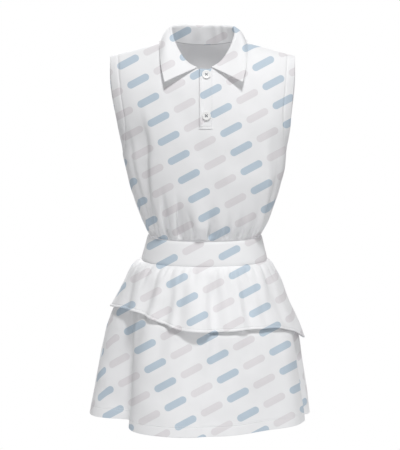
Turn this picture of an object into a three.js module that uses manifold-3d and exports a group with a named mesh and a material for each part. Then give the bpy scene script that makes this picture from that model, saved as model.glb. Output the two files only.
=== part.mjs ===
// A sleeveless sports dress with a shirt collar, as it hangs on its wearer.
// Millimetres, +Z up. The front faces -Y and +X is on the right of the front view.
// The origin is midway between the two high shoulder points, where the shoulders carry the dress.
import * as THREE from 'three';
import Module from 'manifold-3d';

// Driving dimensions
const CLOTH = 1.5;
const BAND_CLOTH = 2.4;
const COLLAR_CLOTH = 1.6;
const SEAM_GAP = 0.3;
const HALF_GAP = SEAM_GAP / 2;
// What a piece laid on a curved wall needs more, since both are made of flat facets
const FACET_GAP = 0.1;

const BUST_Z = -240;
const WAIST_TOP_Z = -407;
const WAIST_BOTTOM_Z = -457;
const HEM_Z = -793;
const OVERSKIRT_MIDDLE_Z = -600;
const UNDER_OVERSKIRT = { faded: -700, whole: -590 };

const NECK_HALF_WIDTH = 72;
const FRONT_NECK = { drop: 54, roundness: 2 };
const BACK_NECK = { drop: 11, roundness: 2.2 };
const SHOULDER_FALL = 0.28;
const SHOULDER_ROUNDING = 30;
const ARMHOLE_HEM_SHARE = 0.034;
const ARMHOLE_EDGE_SHARE = 0.132;
const ARMHOLE_SEAM_DEPTH = { front: 0.64, back: 0.57 };
const ARMHOLE_EDGE_DEPTH = { front: 0.47, back: 0.38 };

// The collar: the places of its front ends, the lean and the roll of its fold, how far the leaf
// swells, and how far it keeps off the bodice.
const COLLAR_ENDS = { left: -13, right: 16, climb: 47 };
const STAND_LEAN = 7;
const STAND_INSET = 0.45;
const ROLL_RADIUS = { front: 2, back: 3.4 };
const ROLL_TURN = { front: 100, back: 150 };
const LEAF_SWELL = { front: 0.02, back: 0.12 };
const LEAF_CLEARANCE = { roll: 0.9, inner: 1.6, edge: 4.5 };
const PLACKET = { left: -9.4, right: 18, bottom: -171, belowNeck: -1, cloth: 1.2 };
const BUTTON = {
  radius: 8.9,
  thickness: 3,
  rim: 1.6,
  bevel: 0.7,
  dish: 0.9,
  holeRadius: 0.9,
  holeSpread: 2.1,
  x: 5.6,
};
const BUTTON_HEIGHTS = [-64, -145];

// Half widths and depths of the bodice below the bust, and how square each section is.
const BODICE_SECTIONS = [
  { z: -407, half: 117.5, front: 89, back: 83, shift: 2.6, square: 2.2 },
  { z: -395, half: 124, front: 97, back: 89, shift: 3, square: 2.2 },
  { z: -376, half: 133, front: 105, back: 95, shift: 4, square: 2.25 },
  { z: -325, half: 150, front: 114, back: 101, shift: 3.8, square: 2.3 },
  { z: -275, half: 164, front: 118, back: 102, shift: 3.6, square: 2.4 },
  { z: -240, half: 170, front: 119, back: 101, shift: 2, square: 2.4 },
];

// How far the section would reach sideways above the bust, against the share of height climbed.
const SHOULDER_SPREAD = [
  { share: 0, half: 170, shift: 2 },
  { share: 0.13, half: 173, shift: 2 },
  { share: 0.33, half: 187, shift: 1 },
  { share: 0.5, half: 196, shift: -1 },
  { share: 0.75, half: 202, shift: -2 },
  { share: 1, half: 202.5, shift: -2 },
];

const WAISTBAND_SECTIONS = [
  { z: -457, half: 132.5, front: 101, back: 94, shift: 1.6, square: 2.15 },
  { z: -432, half: 126, front: 96.5, back: 89.5, shift: 2, square: 2.15 },
  { z: -407, half: 119.5, front: 91.5, back: 85, shift: 2.6, square: 2.2 },
];

const SKIRT_SECTIONS = [
  { z: -793, half: 236, front: 200, back: 188, shift: -8, square: 1.8 },
  { z: -725, half: 225, front: 189, back: 177, shift: -6, square: 1.86 },
  { z: -646, half: 211, front: 174, back: 163, shift: -4, square: 1.95 },
  { z: -582, half: 195, front: 157, back: 147, shift: -3.4, square: 2 },
  { z: -543, half: 178, front: 143, back: 133, shift: -3, square: 2.07 },
  { z: -504, half: 161, front: 128, back: 119, shift: -2, square: 2.12 },
  { z: -478, half: 147, front: 114, back: 106, shift: -1.5, square: 2.14 },
  { z: -457, half: 130.7, front: 99.2, back: 92.2, shift: 1.6, square: 2.15 },
];

const OVERSKIRT_SECTIONS = [
  { z: -640, half: 215, front: 186, back: 174, shift: -3, square: 2 },
  { z: -582, half: 199, front: 168, back: 157, shift: -3.4, square: 2.06 },
  { z: -543, half: 182, front: 151.5, back: 141, shift: -3, square: 2.1 },
  { z: -504, half: 166, front: 134.5, back: 125, shift: -2, square: 2.14 },
  { z: -478, half: 153, front: 120, back: 112, shift: -1.5, square: 2.15 },
  { z: -466, half: 144.5, front: 111.5, back: 104, shift: 0, square: 2.15 },
  { z: -457, half: 132.5, front: 101, back: 94, shift: 1.6, square: 2.15 },
];

// The slanted lower edge of the overskirt, round the body from the front centre, in degrees.
const OVERSKIRT_EDGE = [
  { angle: -90, z: -560 },
  { angle: -70, z: -552 },
  { angle: -48, z: -551 },
  { angle: -28, z: -564 },
  { angle: -12, z: -577 },
  { angle: 0, z: -581 },
  { angle: 30, z: -580 },
  { angle: 50, z: -584 },
  { angle: 68, z: -598 },
  { angle: 90, z: -628 },
  { angle: 125, z: -622 },
  { angle: 180, z: -596 },
  { angle: 225, z: -574 },
];

// Folds, each a soft ridge (+) or trough (-) in millimetres. At the level called gone it dies
// out at the angle high. It has its full depth from the level called full on, and at the end
// of the cloth it is at the angle low. Left and right are its soft widths, in degrees.
const BODICE_FOLDS = [
  { low: -62, high: -38, bend: 2, left: 13, right: 4.5, depth: -12, full: -240, gone: -90 },
  { low: -80, high: -70, bend: 1, left: 7, right: 6, depth: -5, full: -360, gone: -210 },
  { low: -37.5, high: -27, bend: 1, left: 3.5, right: 3.5, depth: -6, full: -395, gone: -300 },
  { low: -21.5, high: -14, bend: 1, left: 3, right: 7, depth: -8, full: -392, gone: -300 },
  { low: -3.5, high: -7, bend: 1, left: 6, right: 5, depth: 7, full: -385, gone: -255 },
  { low: 5, high: 3, bend: 1, left: 3.5, right: 6, depth: -6, full: -398, gone: -310 },
  { low: 20, high: 15, bend: 1, left: 4, right: 4, depth: -4, full: -405, gone: -340 },
  { low: 33, high: 26, bend: 1, left: 4, right: 5, depth: -4.5, full: -400, gone: -335 },
  { low: 49, high: 39, bend: 1, left: 5, right: 4, depth: -4.5, full: -400, gone: -330 },
  { low: 61, high: 42, bend: 2, left: 6, right: 6, depth: 5, full: -300, gone: -110 },
  { low: 76, high: 72, bend: 1, left: 6, right: 7, depth: -5, full: -407, gone: -300 },
  { low: 112, high: 116, bend: 1, left: 8, right: 8, depth: -6, full: -407, gone: -270 },
  { low: 138, high: 132, bend: 1, left: 5, right: 9, depth: -8, full: -380, gone: -180 },
  { low: 158, high: 154, bend: 1, left: 5, right: 6, depth: -6, full: -400, gone: -320 },
  { low: 174, high: 178, bend: 1, left: 7, right: 6, depth: -6, full: -400, gone: -290 },
  { low: 193, high: 196, bend: 1, left: 6, right: 5, depth: -7, full: -400, gone: -335 },
  { low: 216, high: 224, bend: 1.5, left: 10, right: 6, depth: -9, full: -360, gone: -190 },
  { low: 245, high: 240, bend: 1, left: 8, right: 7, depth: -5, full: -407, gone: -300 },
];

const SKIRT_FOLDS = [
  { low: -59, high: -61, bend: 1, left: 16, right: 14, depth: -66, full: -793, gone: -425 },
  { low: 4, high: 3, bend: 1, left: 10, right: 10, depth: -6, full: -793, gone: -560 },
  { low: 42, high: 42, bend: 1, left: 13, right: 12, depth: -9, full: -793, gone: -520 },
  { low: 81, high: 78, bend: 1, left: 6, right: 7, depth: -15, full: -793, gone: -510 },
  { low: 118, high: 116, bend: 1, left: 9, right: 16, depth: -40, full: -793, gone: -470 },
  { low: 150, high: 151, bend: 1, left: 12, right: 10, depth: -20, full: -793, gone: -520 },
  { low: 183, high: 181, bend: 1, left: 15, right: 9, depth: -34, full: -793, gone: -480 },
  { low: 214, high: 216, bend: 1, left: 11, right: 11, depth: -20, full: -793, gone: -510 },
  { low: 240, high: 240, bend: 1, left: 9, right: 13, depth: -36, full: -793, gone: -470 },
];

const OVERSKIRT_FOLDS = [
  { low: -90, high: -90, bend: 1, left: 12, right: 12, depth: 3.5, full: -565, gone: -520 },
  { low: -60, high: -72, bend: 1, left: 8, right: 6, depth: -6, full: -520, gone: -458 },
  { low: -44, high: -42, bend: 1, left: 5, right: 7, depth: -5, full: -520, gone: -458 },
  { low: -26, high: -24, bend: 1, left: 6, right: 5, depth: -5, full: -540, gone: -458 },
  { low: -4, high: -3, bend: 1, left: 9, right: 9, depth: 7, full: -600, gone: -530 },
  { low: 8, high: 7, bend: 1, left: 4, right: 7, depth: -8, full: -525, gone: -458 },
  { low: 31, high: 33, bend: 1, left: 6, right: 6, depth: -5, full: -540, gone: -458 },
  { low: 50, high: 56, bend: 1, left: 6, right: 6, depth: -4, full: -540, gone: -458 },
  { low: 82, high: 84, bend: 1, left: 10, right: 10, depth: 6, full: -625, gone: -560 },
  { low: 118, high: 122, bend: 1, left: 8, right: 8, depth: -6, full: -560, gone: -458 },
  { low: 148, high: 150, bend: 1, left: 7, right: 6, depth: -5, full: -560, gone: -458 },
  { low: 178, high: 176, bend: 1, left: 8, right: 9, depth: -7, full: -560, gone: -458 },
  { low: 206, high: 205, bend: 1, left: 7, right: 6, depth: -5, full: -550, gone: -458 },
  { low: 238, high: 236, bend: 1, left: 8, right: 8, depth: -6, full: -540, gone: -458 },
];

// The collar on one side, from its front end round to the centre back. Each row gives the
// share of the way, the height of the stand, and the outer edge of the leaf.
const COLLAR_ROWS = [
  { way: 0, stand: 2.4, x: 79, y: -97, z: -76 },
  { way: 0.14, stand: 4.5, x: 83, y: -88, z: -61 },
  { way: 0.28, stand: 11, x: 87, y: -75, z: -45 },
  { way: 0.42, stand: 19, x: 89.5, y: -54, z: -22 },
  { way: 0.56, stand: 27, x: 90, y: -16, z: -4 },
  { way: 0.68, stand: 33, x: 82, y: 26, z: -3 },
  { way: 0.8, stand: 38, x: 60, y: 54, z: -14 },
  { way: 0.9, stand: 40, x: 32, y: 68, z: -20 },
  { way: 1, stand: 40, x: 0, y: 73, z: -22 },
];

const CLOTH_LOOK = { color: 0xf4f4f3, roughness: 0.85, metalness: 0 };
const BUTTON_LOOK = { color: 0xfafafa, roughness: 0.35, metalness: 0 };

// Small mathematics
const radians = (degrees) => (degrees * Math.PI) / 180;
const mix = (a, b, share) => a + (b - a) * share;
const clamp01 = (value) => Math.min(1, Math.max(0, value));
const arcsine = (value) => Math.asin(Math.min(1, Math.max(-1, value))) / radians(1);
const smooth = (value) => {
  const v = clamp01(value);
  return v * v * (3 - 2 * v);
};
const signedPower = (value, power) => Math.sign(value) * Math.abs(value) ** power;
// The same direction as an angle, in the full turn that starts at another.
const turnedFrom = (first, angle) => ((((angle - first) % 360) + 360) % 360) + first;

// A smooth curve through the rows of a table: the value of a column where the key column is at.
function along(rows, key, at, column) {
  const up = rows[0][key] < rows[rows.length - 1][key] ? rows : [...rows].reverse();
  let i = 0;
  while (i < up.length - 2 && at > up[i + 1][key]) i += 1;
  const slope = (k) => {
    const before = up[Math.max(0, k - 1)];
    const after = up[Math.min(up.length - 1, k + 1)];
    return (after[column] - before[column]) / (after[key] - before[key]);
  };
  const low = up[i];
  const high = up[i + 1];
  const span = high[key] - low[key];
  const t = clamp01((at - low[key]) / span);
  const t2 = t * t;
  const t3 = t2 * t;
  return (2 * t3 - 3 * t2 + 1) * low[column] + (t3 - 2 * t2 + t) * span * slope(i)
    + (3 * t2 - 2 * t3) * high[column] + (t3 - t2) * span * slope(i + 1);
}

function sectionAt(rows, z) {
  const section = {};
  for (const column of ['half', 'front', 'back', 'shift', 'square']) {
    section[column] = along(rows, 'z', z, column);
  }
  return section;
}

// The sum of a table's folds at an angle, in degrees, and a level.
function foldDepth({ folds, end }, angle, z) {
  let depth = 0;
  for (const fold of folds) {
    const grown = (z - fold.gone) / (fold.full - fold.gone);
    if (grown <= 0) continue;
    const way = clamp01((z - fold.gone) / (end - fold.gone)) ** fold.bend;
    const off = turnedFrom(-180, angle - mix(fold.high, fold.low, way));
    const part = off / (off < 0 ? fold.left : fold.right);
    depth += fold.depth * smooth(grown) * Math.exp(-part * part);
  }
  return depth;
}
const BODICE_CREASES = { folds: BODICE_FOLDS, end: WAIST_TOP_Z };
const SKIRT_CREASES = { folds: SKIRT_FOLDS, end: HEM_Z };
const OVERSKIRT_CREASES = { folds: OVERSKIRT_FOLDS, end: OVERSKIRT_MIDDLE_Z };

// A point of a rounded section at an angle from the front centre, moved out by some depth.
function sectionPoint(section, angle, out) {
  const s = Math.sin(radians(angle));
  const c = Math.cos(radians(angle));
  const power = 2 / section.square;
  const deep = c >= 0 ? section.front : section.back;
  const nx = signedPower(s, 2 - power) / section.half;
  const ny = -signedPower(c, 2 - power) / deep;
  const size = Math.hypot(nx, ny);
  return {
    x: section.shift + section.half * signedPower(s, power) + (out * nx) / size,
    y: -deep * signedPower(c, power) + (out * ny) / size,
  };
}

const BUST = BODICE_SECTIONS[BODICE_SECTIONS.length - 1];

// The shoulder line's height above any place across the body.
function shoulderHeight(x) {
  const round = (v) => Math.hypot(v, SHOULDER_ROUNDING);
  return SHOULDER_FALL * (round(NECK_HALF_WIDTH) - round(x));
}

// The bodice at an angle round the body. Below the bust, climb is a level in millimetres under
// it, as a negative number. Above, it is an angle from 0 at the bust to 90 on the shoulder seam.
function torso(angle, climb) {
  if (climb <= 0) {
    const z = BUST_Z + climb;
    const section = sectionAt(BODICE_SECTIONS, z);
    const p = sectionPoint(section, angle, foldDepth(BODICE_CREASES, angle, z));
    return new THREE.Vector3(p.x, p.y, z);
  }
  const share = Math.sin(radians(climb));
  const half = along(SHOULDER_SPREAD, 'share', share, 'half');
  const shift = along(SHOULDER_SPREAD, 'share', share, 'shift');
  const flat = sectionPoint({ ...BUST, half, shift: 0 }, angle, 0);
  const z = BUST_Z + share * (shoulderHeight(flat.x) - BUST_Z);
  const fold = foldDepth(BODICE_CREASES, angle, z) * Math.cos(radians(climb));
  const p = sectionPoint({ ...BUST, half, shift }, angle, fold);
  return new THREE.Vector3(p.x, p.y * Math.cos(radians(climb)), z);
}

// The angle round the body of a place across it, at a climb above the bust.
function angleAcross(x, climb) {
  const share = Math.sin(radians(climb));
  const half = along(SHOULDER_SPREAD, 'share', share, 'half');
  const shift = along(SHOULDER_SPREAD, 'share', share, 'shift');
  return arcsine(signedPower((x - shift) / half, BUST.square / 2));
}

const NECK_ANGLE = angleAcross(NECK_HALF_WIDTH + SHOULDER_SPREAD.at(-1).shift, 90);

// The climb at which a column of the bodice meets a level that may depend on x.
function climbTo(angle, level) {
  let low = 1;
  let high = 90;
  for (let step = 0; step < 40; step += 1) {
    const middle = (low + high) / 2;
    const p = torso(angle, middle);
    if (p.z < level(p.x)) low = middle;
    else high = middle;
  }
  return (low + high) / 2;
}

const necklineLevel = ({ drop, roundness }) => (x) => {
  const across = Math.min(1, Math.abs(x) / NECK_HALF_WIDTH);
  return -drop * (1 - across ** roundness);
};
const frontNeckline = necklineLevel(FRONT_NECK);
const backNeckline = necklineLevel(BACK_NECK);

// One side of an armhole: a way from 0 under the arm to 1 on the shoulder seam gives the climb
// and the angle. The seam is where the band joins the bodice, and the edge is the open one.
function armholePoint(way, bottomShare, depths, isBack) {
  const turn = Math.PI * way;
  const share = bottomShare + ((1 - bottomShare) * (1 - Math.cos(turn))) / 2;
  const towardsTop = smooth(2 * way - 1);
  const atTop = (depths.front + depths.back) / 2;
  const deepest = mix(isBack ? depths.back : depths.front, atTop, towardsTop);
  const deep = deepest * Math.sin(Math.min(turn, Math.PI / 2));
  return { climb: arcsine(share), angle: 90 - arcsine(deep ** (BUST.square / 2)) };
}
const armholeSeam = (way, isBack) => (
  armholePoint(way, ARMHOLE_HEM_SHARE, ARMHOLE_SEAM_DEPTH, isBack)
);
const armholeEdge = (way, isBack) => (
  armholePoint(way, ARMHOLE_EDGE_SHARE, ARMHOLE_EDGE_DEPTH, isBack)
);

// The skirt layers, by angle and level
function overskirt(angle, z) {
  const fold = foldDepth(OVERSKIRT_CREASES, angle, z);
  const p = sectionPoint(sectionAt(OVERSKIRT_SECTIONS, z), angle, fold);
  return new THREE.Vector3(p.x, p.y, z);
}

// The skirt has the overskirt's troughs as well where it lies under them.
function skirt(angle, z) {
  const { faded, whole } = UNDER_OVERSKIRT;
  const troughs = Math.min(0, foldDepth(OVERSKIRT_CREASES, angle, z));
  const fold = foldDepth(SKIRT_CREASES, angle, z) + troughs * smooth((z - faded) / (whole - faded));
  const p = sectionPoint(sectionAt(SKIRT_SECTIONS, z), angle, fold);
  return new THREE.Vector3(p.x, p.y, z);
}

function waistband(angle, z) {
  const p = sectionPoint(sectionAt(WAISTBAND_SECTIONS, z), angle, 0);
  return new THREE.Vector3(p.x, p.y, z);
}

function overskirtEdge(angle) {
  const first = OVERSKIRT_EDGE[0];
  const last = OVERSKIRT_EDGE[OVERSKIRT_EDGE.length - 1];
  const before = { ...last, angle: last.angle - 360 };
  const after = { ...first, angle: first.angle + 360 };
  const turned = turnedFrom(first.angle, angle);
  return along([before, ...OVERSKIRT_EDGE, after], 'angle', turned, 'z');
}

// A surface's outward normal at (a, b), from points a little to each side.
const NUDGE = 0.4;
function normalOf(surface, a, b) {
  const across = surface(a + NUDGE, b).sub(surface(a - NUDGE, b));
  const rise = surface(a, b + NUDGE).sub(surface(a, b - NUDGE));
  return across.cross(rise).normalize();
}

// A wall from rows of { point, normal }: the points are its outer face, and it is thick inwards.
// Rows run upwards and each row runs anticlockwise seen from above. A ring closes on itself.
function wall(rows, thickness, isRing = false) {
  const positions = [];
  const faces = [];
  const count = rows[0].length;
  const total = rows.length * count;
  for (const depth of [0, thickness]) {
    for (const { point, normal } of rows.flat()) {
      positions.push(
        point.x - normal.x * depth, point.y - normal.y * depth, point.z - normal.z * depth,
      );
    }
  }
  const outer = (j, i) => j * count + (i % count);
  const inner = (j, i) => total + outer(j, i);
  const quad = (a, b, c, d) => faces.push(a, b, c, a, c, d);
  const spans = isRing ? count : count - 1;
  for (let j = 0; j < rows.length - 1; j += 1) {
    for (let i = 0; i < spans; i += 1) {
      quad(outer(j, i), outer(j, i + 1), outer(j + 1, i + 1), outer(j + 1, i));
      quad(inner(j, i), inner(j + 1, i), inner(j + 1, i + 1), inner(j, i + 1));
    }
  }
  const last = rows.length - 1;
  for (let i = 0; i < spans; i += 1) {
    quad(outer(0, i), inner(0, i), inner(0, i + 1), outer(0, i + 1));
    quad(outer(last, i), outer(last, i + 1), inner(last, i + 1), inner(last, i));
  }
  if (!isRing) {
    for (let j = 0; j < last; j += 1) {
      quad(outer(j, 0), outer(j + 1, 0), inner(j + 1, 0), inner(j, 0));
      quad(outer(j, count - 1), inner(j, count - 1), inner(j + 1, count - 1), outer(j + 1, count - 1));
    }
  }
  const geometry = new THREE.BufferGeometry();
  geometry.setAttribute('position', new THREE.Float32BufferAttribute(positions, 3));
  geometry.setIndex(faces);
  geometry.computeVertexNormals();
  return geometry;
}

const flattened = (normal) => normal.clone().setZ(0).normalize();
const pieces = [];

function piece(name, geometry, look = CLOTH_LOOK) {
  const mesh = new THREE.Mesh(geometry, new THREE.MeshStandardMaterial(look));
  mesh.name = name;
  pieces.push(mesh);
  return mesh;
}

const spread = (count, from, to) => Array.from(
  { length: count + 1 }, (_, k) => mix(from, to, k / count),
);

// The front and the back are the same construction on either side of y = 0.
const FRONT = {
  centre: 0,
  side: -1,
  neckline: frontNeckline,
  spans: { neck: 12, side: 10, low: 10, skirt: 38, overskirt: 32 },
};
const BACK = {
  centre: 180,
  side: 1,
  neckline: backNeckline,
  spans: { neck: 10, side: 8, low: 8, skirt: 34, overskirt: 28 },
};
// The rows of the bodice beside the armholes, as ways from the underarm to the shoulder seam
const HIGH_WAYS = [0, 0.12, 0.21, 0.3, 0.4, 0.5, 0.6, 0.7, 0.8, 0.9, 1];
// The rows under the bust lie closer towards the waist, and end this far under it.
const LOW_ROWS = { crowding: 1.15, lastClimb: -2 };

// Columns of a panel as shares from -1 at one edge to 1 at the other. The middle ones lie
// under the neckline, and at share NECK_SHARE a column reaches the high shoulder point.
const NECK_SHARE = 0.36;
function columnShares(panel) {
  const outer = spread(panel.spans.side, -1, -NECK_SHARE);
  const middle = spread(panel.spans.neck, -NECK_SHARE, NECK_SHARE).slice(1, -1);
  return [...outer, ...middle, ...outer.map((share) => -share).reverse()];
}

// Under the neck, the columns grow closer towards the high shoulder points.
const neckPart = (part, up) => {
  const crowded = signedPower(Math.sin(radians(90 * part)), BUST.square / 2);
  return mix(part, crowded, up);
};

// Where the armhole cuts in, mostly the columns next to it move with its edge.
const ARMHOLE_CROWDING = { least: 0.45, most: 6 };
function columnAngle(share, neckAngle, edgeAngle, up) {
  const size = Math.abs(share);
  if (size <= NECK_SHARE) return neckAngle * neckPart(share / NECK_SHARE, up);
  const way = (size - NECK_SHARE) / (1 - NECK_SHARE);
  const kept = (edgeAngle - neckAngle) / (90 - neckAngle);
  const lost = Math.max(0.01, 1 - kept);
  const power = Math.min(ARMHOLE_CROWDING.most, 1 + (ARMHOLE_CROWDING.least * kept) / lost);
  return Math.sign(share) * mix(neckAngle, 90, way - (1 - kept) * way ** power);
}

function bodiceNode(panel, angle, climb) {
  const point = torso(angle, climb);
  const normal = normalOf(torso, angle, climb);
  point.y += panel.side * HALF_GAP;
  return { point, normal };
}

function bodicePanel(panel) {
  const shares = columnShares(panel);
  const rows = [];
  const waistNeckAngle = 90 * NECK_SHARE * 0.8;
  for (let j = 0; j < panel.spans.low; j += 1) {
    const up = j / panel.spans.low;
    const lowest = WAIST_TOP_Z + HALF_GAP - BUST_Z;
    const climb = mix(lowest, LOW_ROWS.lastClimb, up ** LOW_ROWS.crowding);
    const neckAngle = mix(waistNeckAngle, NECK_ANGLE, smooth(up));
    rows.push(shares.map((share) => {
      const angle = panel.centre + columnAngle(share, neckAngle, 90, smooth(up));
      const node = bodiceNode(panel, angle, climb);
      if (j === 0) node.normal = flattened(node.normal);
      return node;
    }));
  }
  for (const way of HIGH_WAYS) {
    const seam = armholeSeam(way, panel === BACK);
    const rowShare = Math.sin(radians(seam.climb));
    rows.push(shares.map((share) => {
      const angle = panel.centre + columnAngle(share, NECK_ANGLE, seam.angle, 1);
      let climb = seam.climb;
      if (Math.abs(share) < NECK_SHARE) {
        const neckTop = Math.sin(radians(climbTo(angle, panel.neckline)));
        const part = (rowShare - ARMHOLE_HEM_SHARE) / (1 - ARMHOLE_HEM_SHARE);
        climb = arcsine(mix(ARMHOLE_HEM_SHARE, neckTop, part));
      }
      return bodiceNode(panel, angle, climb);
    }));
  }
  return wall(rows, CLOTH);
}

piece('bodice_front', bodicePanel(FRONT));
piece('bodice_back', bodicePanel(BACK));

// Armhole bands, each a strip that runs from the seam to the open edge, all round the arm.
const BAND_SHARES = [0.03, 0.5, 1];
function armholeBand(side) {
  const round = [
    ...HIGH_WAYS.map((way) => ({ way, toBack: false })),
    ...HIGH_WAYS.slice(1, -1).reverse().map((way) => ({ way, toBack: true })),
  ];
  const rows = BAND_SHARES.map((share) => round.map(({ way, toBack }) => {
    const seam = armholeSeam(way, toBack);
    const edge = armholeEdge(way, toBack);
    const climb = mix(seam.climb, edge.climb, share);
    const turn = mix(seam.angle, edge.angle, share);
    const body = toBack ? 180 - turn : turn;
    const point = torso(side * body, climb);
    const normal = normalOf(torso, side * body, climb);
    return { point, normal };
  }));
  const ordered = side < 0 ? rows : rows.map((row) => [...row].reverse());
  return wall(ordered, CLOTH, true);
}

piece('armhole_band_left', armholeBand(-1));
piece('armhole_band_right', armholeBand(1));

// Waistband and skirts
function ringRows(surface, angles, levels) {
  return levels.map((z, j) => angles.map((angle) => {
    const point = surface(angle, z);
    const normal = normalOf(surface, angle, z);
    const isEdge = j === 0 || j === levels.length - 1;
    return { point, normal: isEdge ? flattened(normal) : normal };
  }));
}

const WAISTBAND_SPANS = { round: 56, up: 2 };
function waistbandRing() {
  const angles = spread(WAISTBAND_SPANS.round, -180, 180).slice(0, -1);
  const levels = spread(WAISTBAND_SPANS.up, WAIST_BOTTOM_Z + HALF_GAP, WAIST_TOP_Z - HALF_GAP);
  return wall(ringRows(waistband, angles, levels), BAND_CLOTH, true);
}

piece('waistband', waistbandRing());

const SKIRT_TOP = WAIST_BOTTOM_Z - HALF_GAP;
const SKIRT_SHARES = [0, 0.08, 0.2, 0.33, 0.47, 0.62, 0.75, 0.86, 0.94, 1];
const OVERSKIRT_SHARES = [0, 0.2, 0.4, 0.6, 0.76, 0.9, 1];

function halfAngles(half, spans) {
  return spread(spans, half.centre - 90, half.centre + 90);
}

function skirtPanel(half) {
  const levels = SKIRT_SHARES.map((share) => mix(HEM_Z, SKIRT_TOP, share));
  const rows = ringRows(skirt, halfAngles(half, half.spans.skirt), levels);
  rows.flat().forEach(({ point }) => {
    point.y += half.side * HALF_GAP;
  });
  return wall(rows, CLOTH);
}

function overskirtPanel(half) {
  const angles = halfAngles(half, half.spans.overskirt);
  const rows = OVERSKIRT_SHARES.map((share, j) => angles.map((angle) => {
    const z = mix(overskirtEdge(angle), SKIRT_TOP, share);
    const point = overskirt(angle, z);
    const normal = normalOf(overskirt, angle, z);
    point.y += half.side * HALF_GAP;
    return { point, normal: j === 0 || share === 1 ? flattened(normal) : normal };
  }));
  return wall(rows, CLOTH);
}

piece('skirt_front', skirtPanel(FRONT));
piece('skirt_back', skirtPanel(BACK));
piece('overskirt_front', overskirtPanel(FRONT));
piece('overskirt_back', overskirtPanel(BACK));

// How far a point stands off the bodice above the bust, and the direction away from it.
function awayFromBodice(point) {
  const value = (x, y, z) => {
    const risen = (z - BUST_Z) / (shoulderHeight(x) - BUST_Z);
    const half = along(SHOULDER_SPREAD, 'share', risen, 'half');
    const shift = along(SHOULDER_SPREAD, 'share', risen, 'shift');
    const deep = (y < 0 ? BUST.front : BUST.back);
    const across = clamp01(Math.abs(x - shift) / half) ** BUST.square;
    const deepHere = deep * (1 - across) ** (1 / BUST.square);
    return (y / deepHere) ** 2 + risen ** 2 - 1;
  };
  const { x, y, z } = point;
  const slope = new THREE.Vector3(
    value(x + NUDGE, y, z) - value(x - NUDGE, y, z),
    value(x, y + NUDGE, z) - value(x, y - NUDGE, z),
    value(x, y, z + NUDGE) - value(x, y, z - NUDGE),
  ).divideScalar(2 * NUDGE);
  return { distance: value(x, y, z) / slope.length(), direction: slope.normalize() };
}

function keepOff(point, clearance) {
  for (let step = 0; step < 6; step += 1) {
    const { distance, direction } = awayFromBodice(point);
    if (distance >= clearance) break;
    point.addScaledVector(direction, (clearance - distance) * 0.9);
  }
  return point;
}

// Collar: one folded strip. Its visible face rises inside the neck as the stand, rolls over
// and falls as the leaf. It starts at the front ends and meets at the centre back.
const LONGEST_SPAN = 24;
const FULL_STAND = 30;
const ROLLED_WAY = 0.4;
const LEAF_SHARES = [0.2, 0.45, 0.72, 1];

function neckPoint(angle) {
  const isBack = Math.cos(radians(angle)) < 0;
  const climb = climbTo(angle, isBack ? backNeckline : frontNeckline);
  return { point: torso(angle, climb), normal: normalOf(torso, angle, climb) };
}

// Points from the right front end of the neckline round the back to the left one. They are
// the bodice's own, with more of them on the straight runs beside the high shoulder points.
function neckStations() {
  const neckAngles = (panel) => spread(panel.spans.neck, -1, 1).slice(1, -1)
    .map((part) => panel.centre + NECK_ANGLE * neckPart(part, 1));
  const front = neckAngles(FRONT);
  const highPoint = (side) => {
    const angle = side * NECK_ANGLE;
    return { point: torso(angle, 90), normal: normalOf(torso, angle, 90 - NUDGE) };
  };
  const rightEnd = angleAcross(COLLAR_ENDS.right, COLLAR_ENDS.climb);
  const leftEnd = angleAcross(COLLAR_ENDS.left, COLLAR_ENDS.climb);
  const right = [rightEnd, ...front.filter((angle) => angle > rightEnd + 1)];
  const left = [...front.filter((angle) => angle < leftEnd - 1), leftEnd];
  const bare = [
    ...right.map(neckPoint), highPoint(1), ...neckAngles(BACK).map(neckPoint), highPoint(-1),
    ...left.map(neckPoint),
  ];
  const full = [bare[0]];
  for (let k = 1; k < bare.length; k += 1) {
    const spans = bare[k].point.distanceTo(bare[k - 1].point) > LONGEST_SPAN ? 2 : 1;
    for (const share of spread(spans, 0, 1).slice(1)) {
      const point = bare[k - 1].point.clone().lerp(bare[k].point, share);
      const normal = bare[k - 1].normal.clone().lerp(bare[k].normal, share).normalize();
      full.push({ point, normal });
    }
  }
  return full;
}

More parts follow.
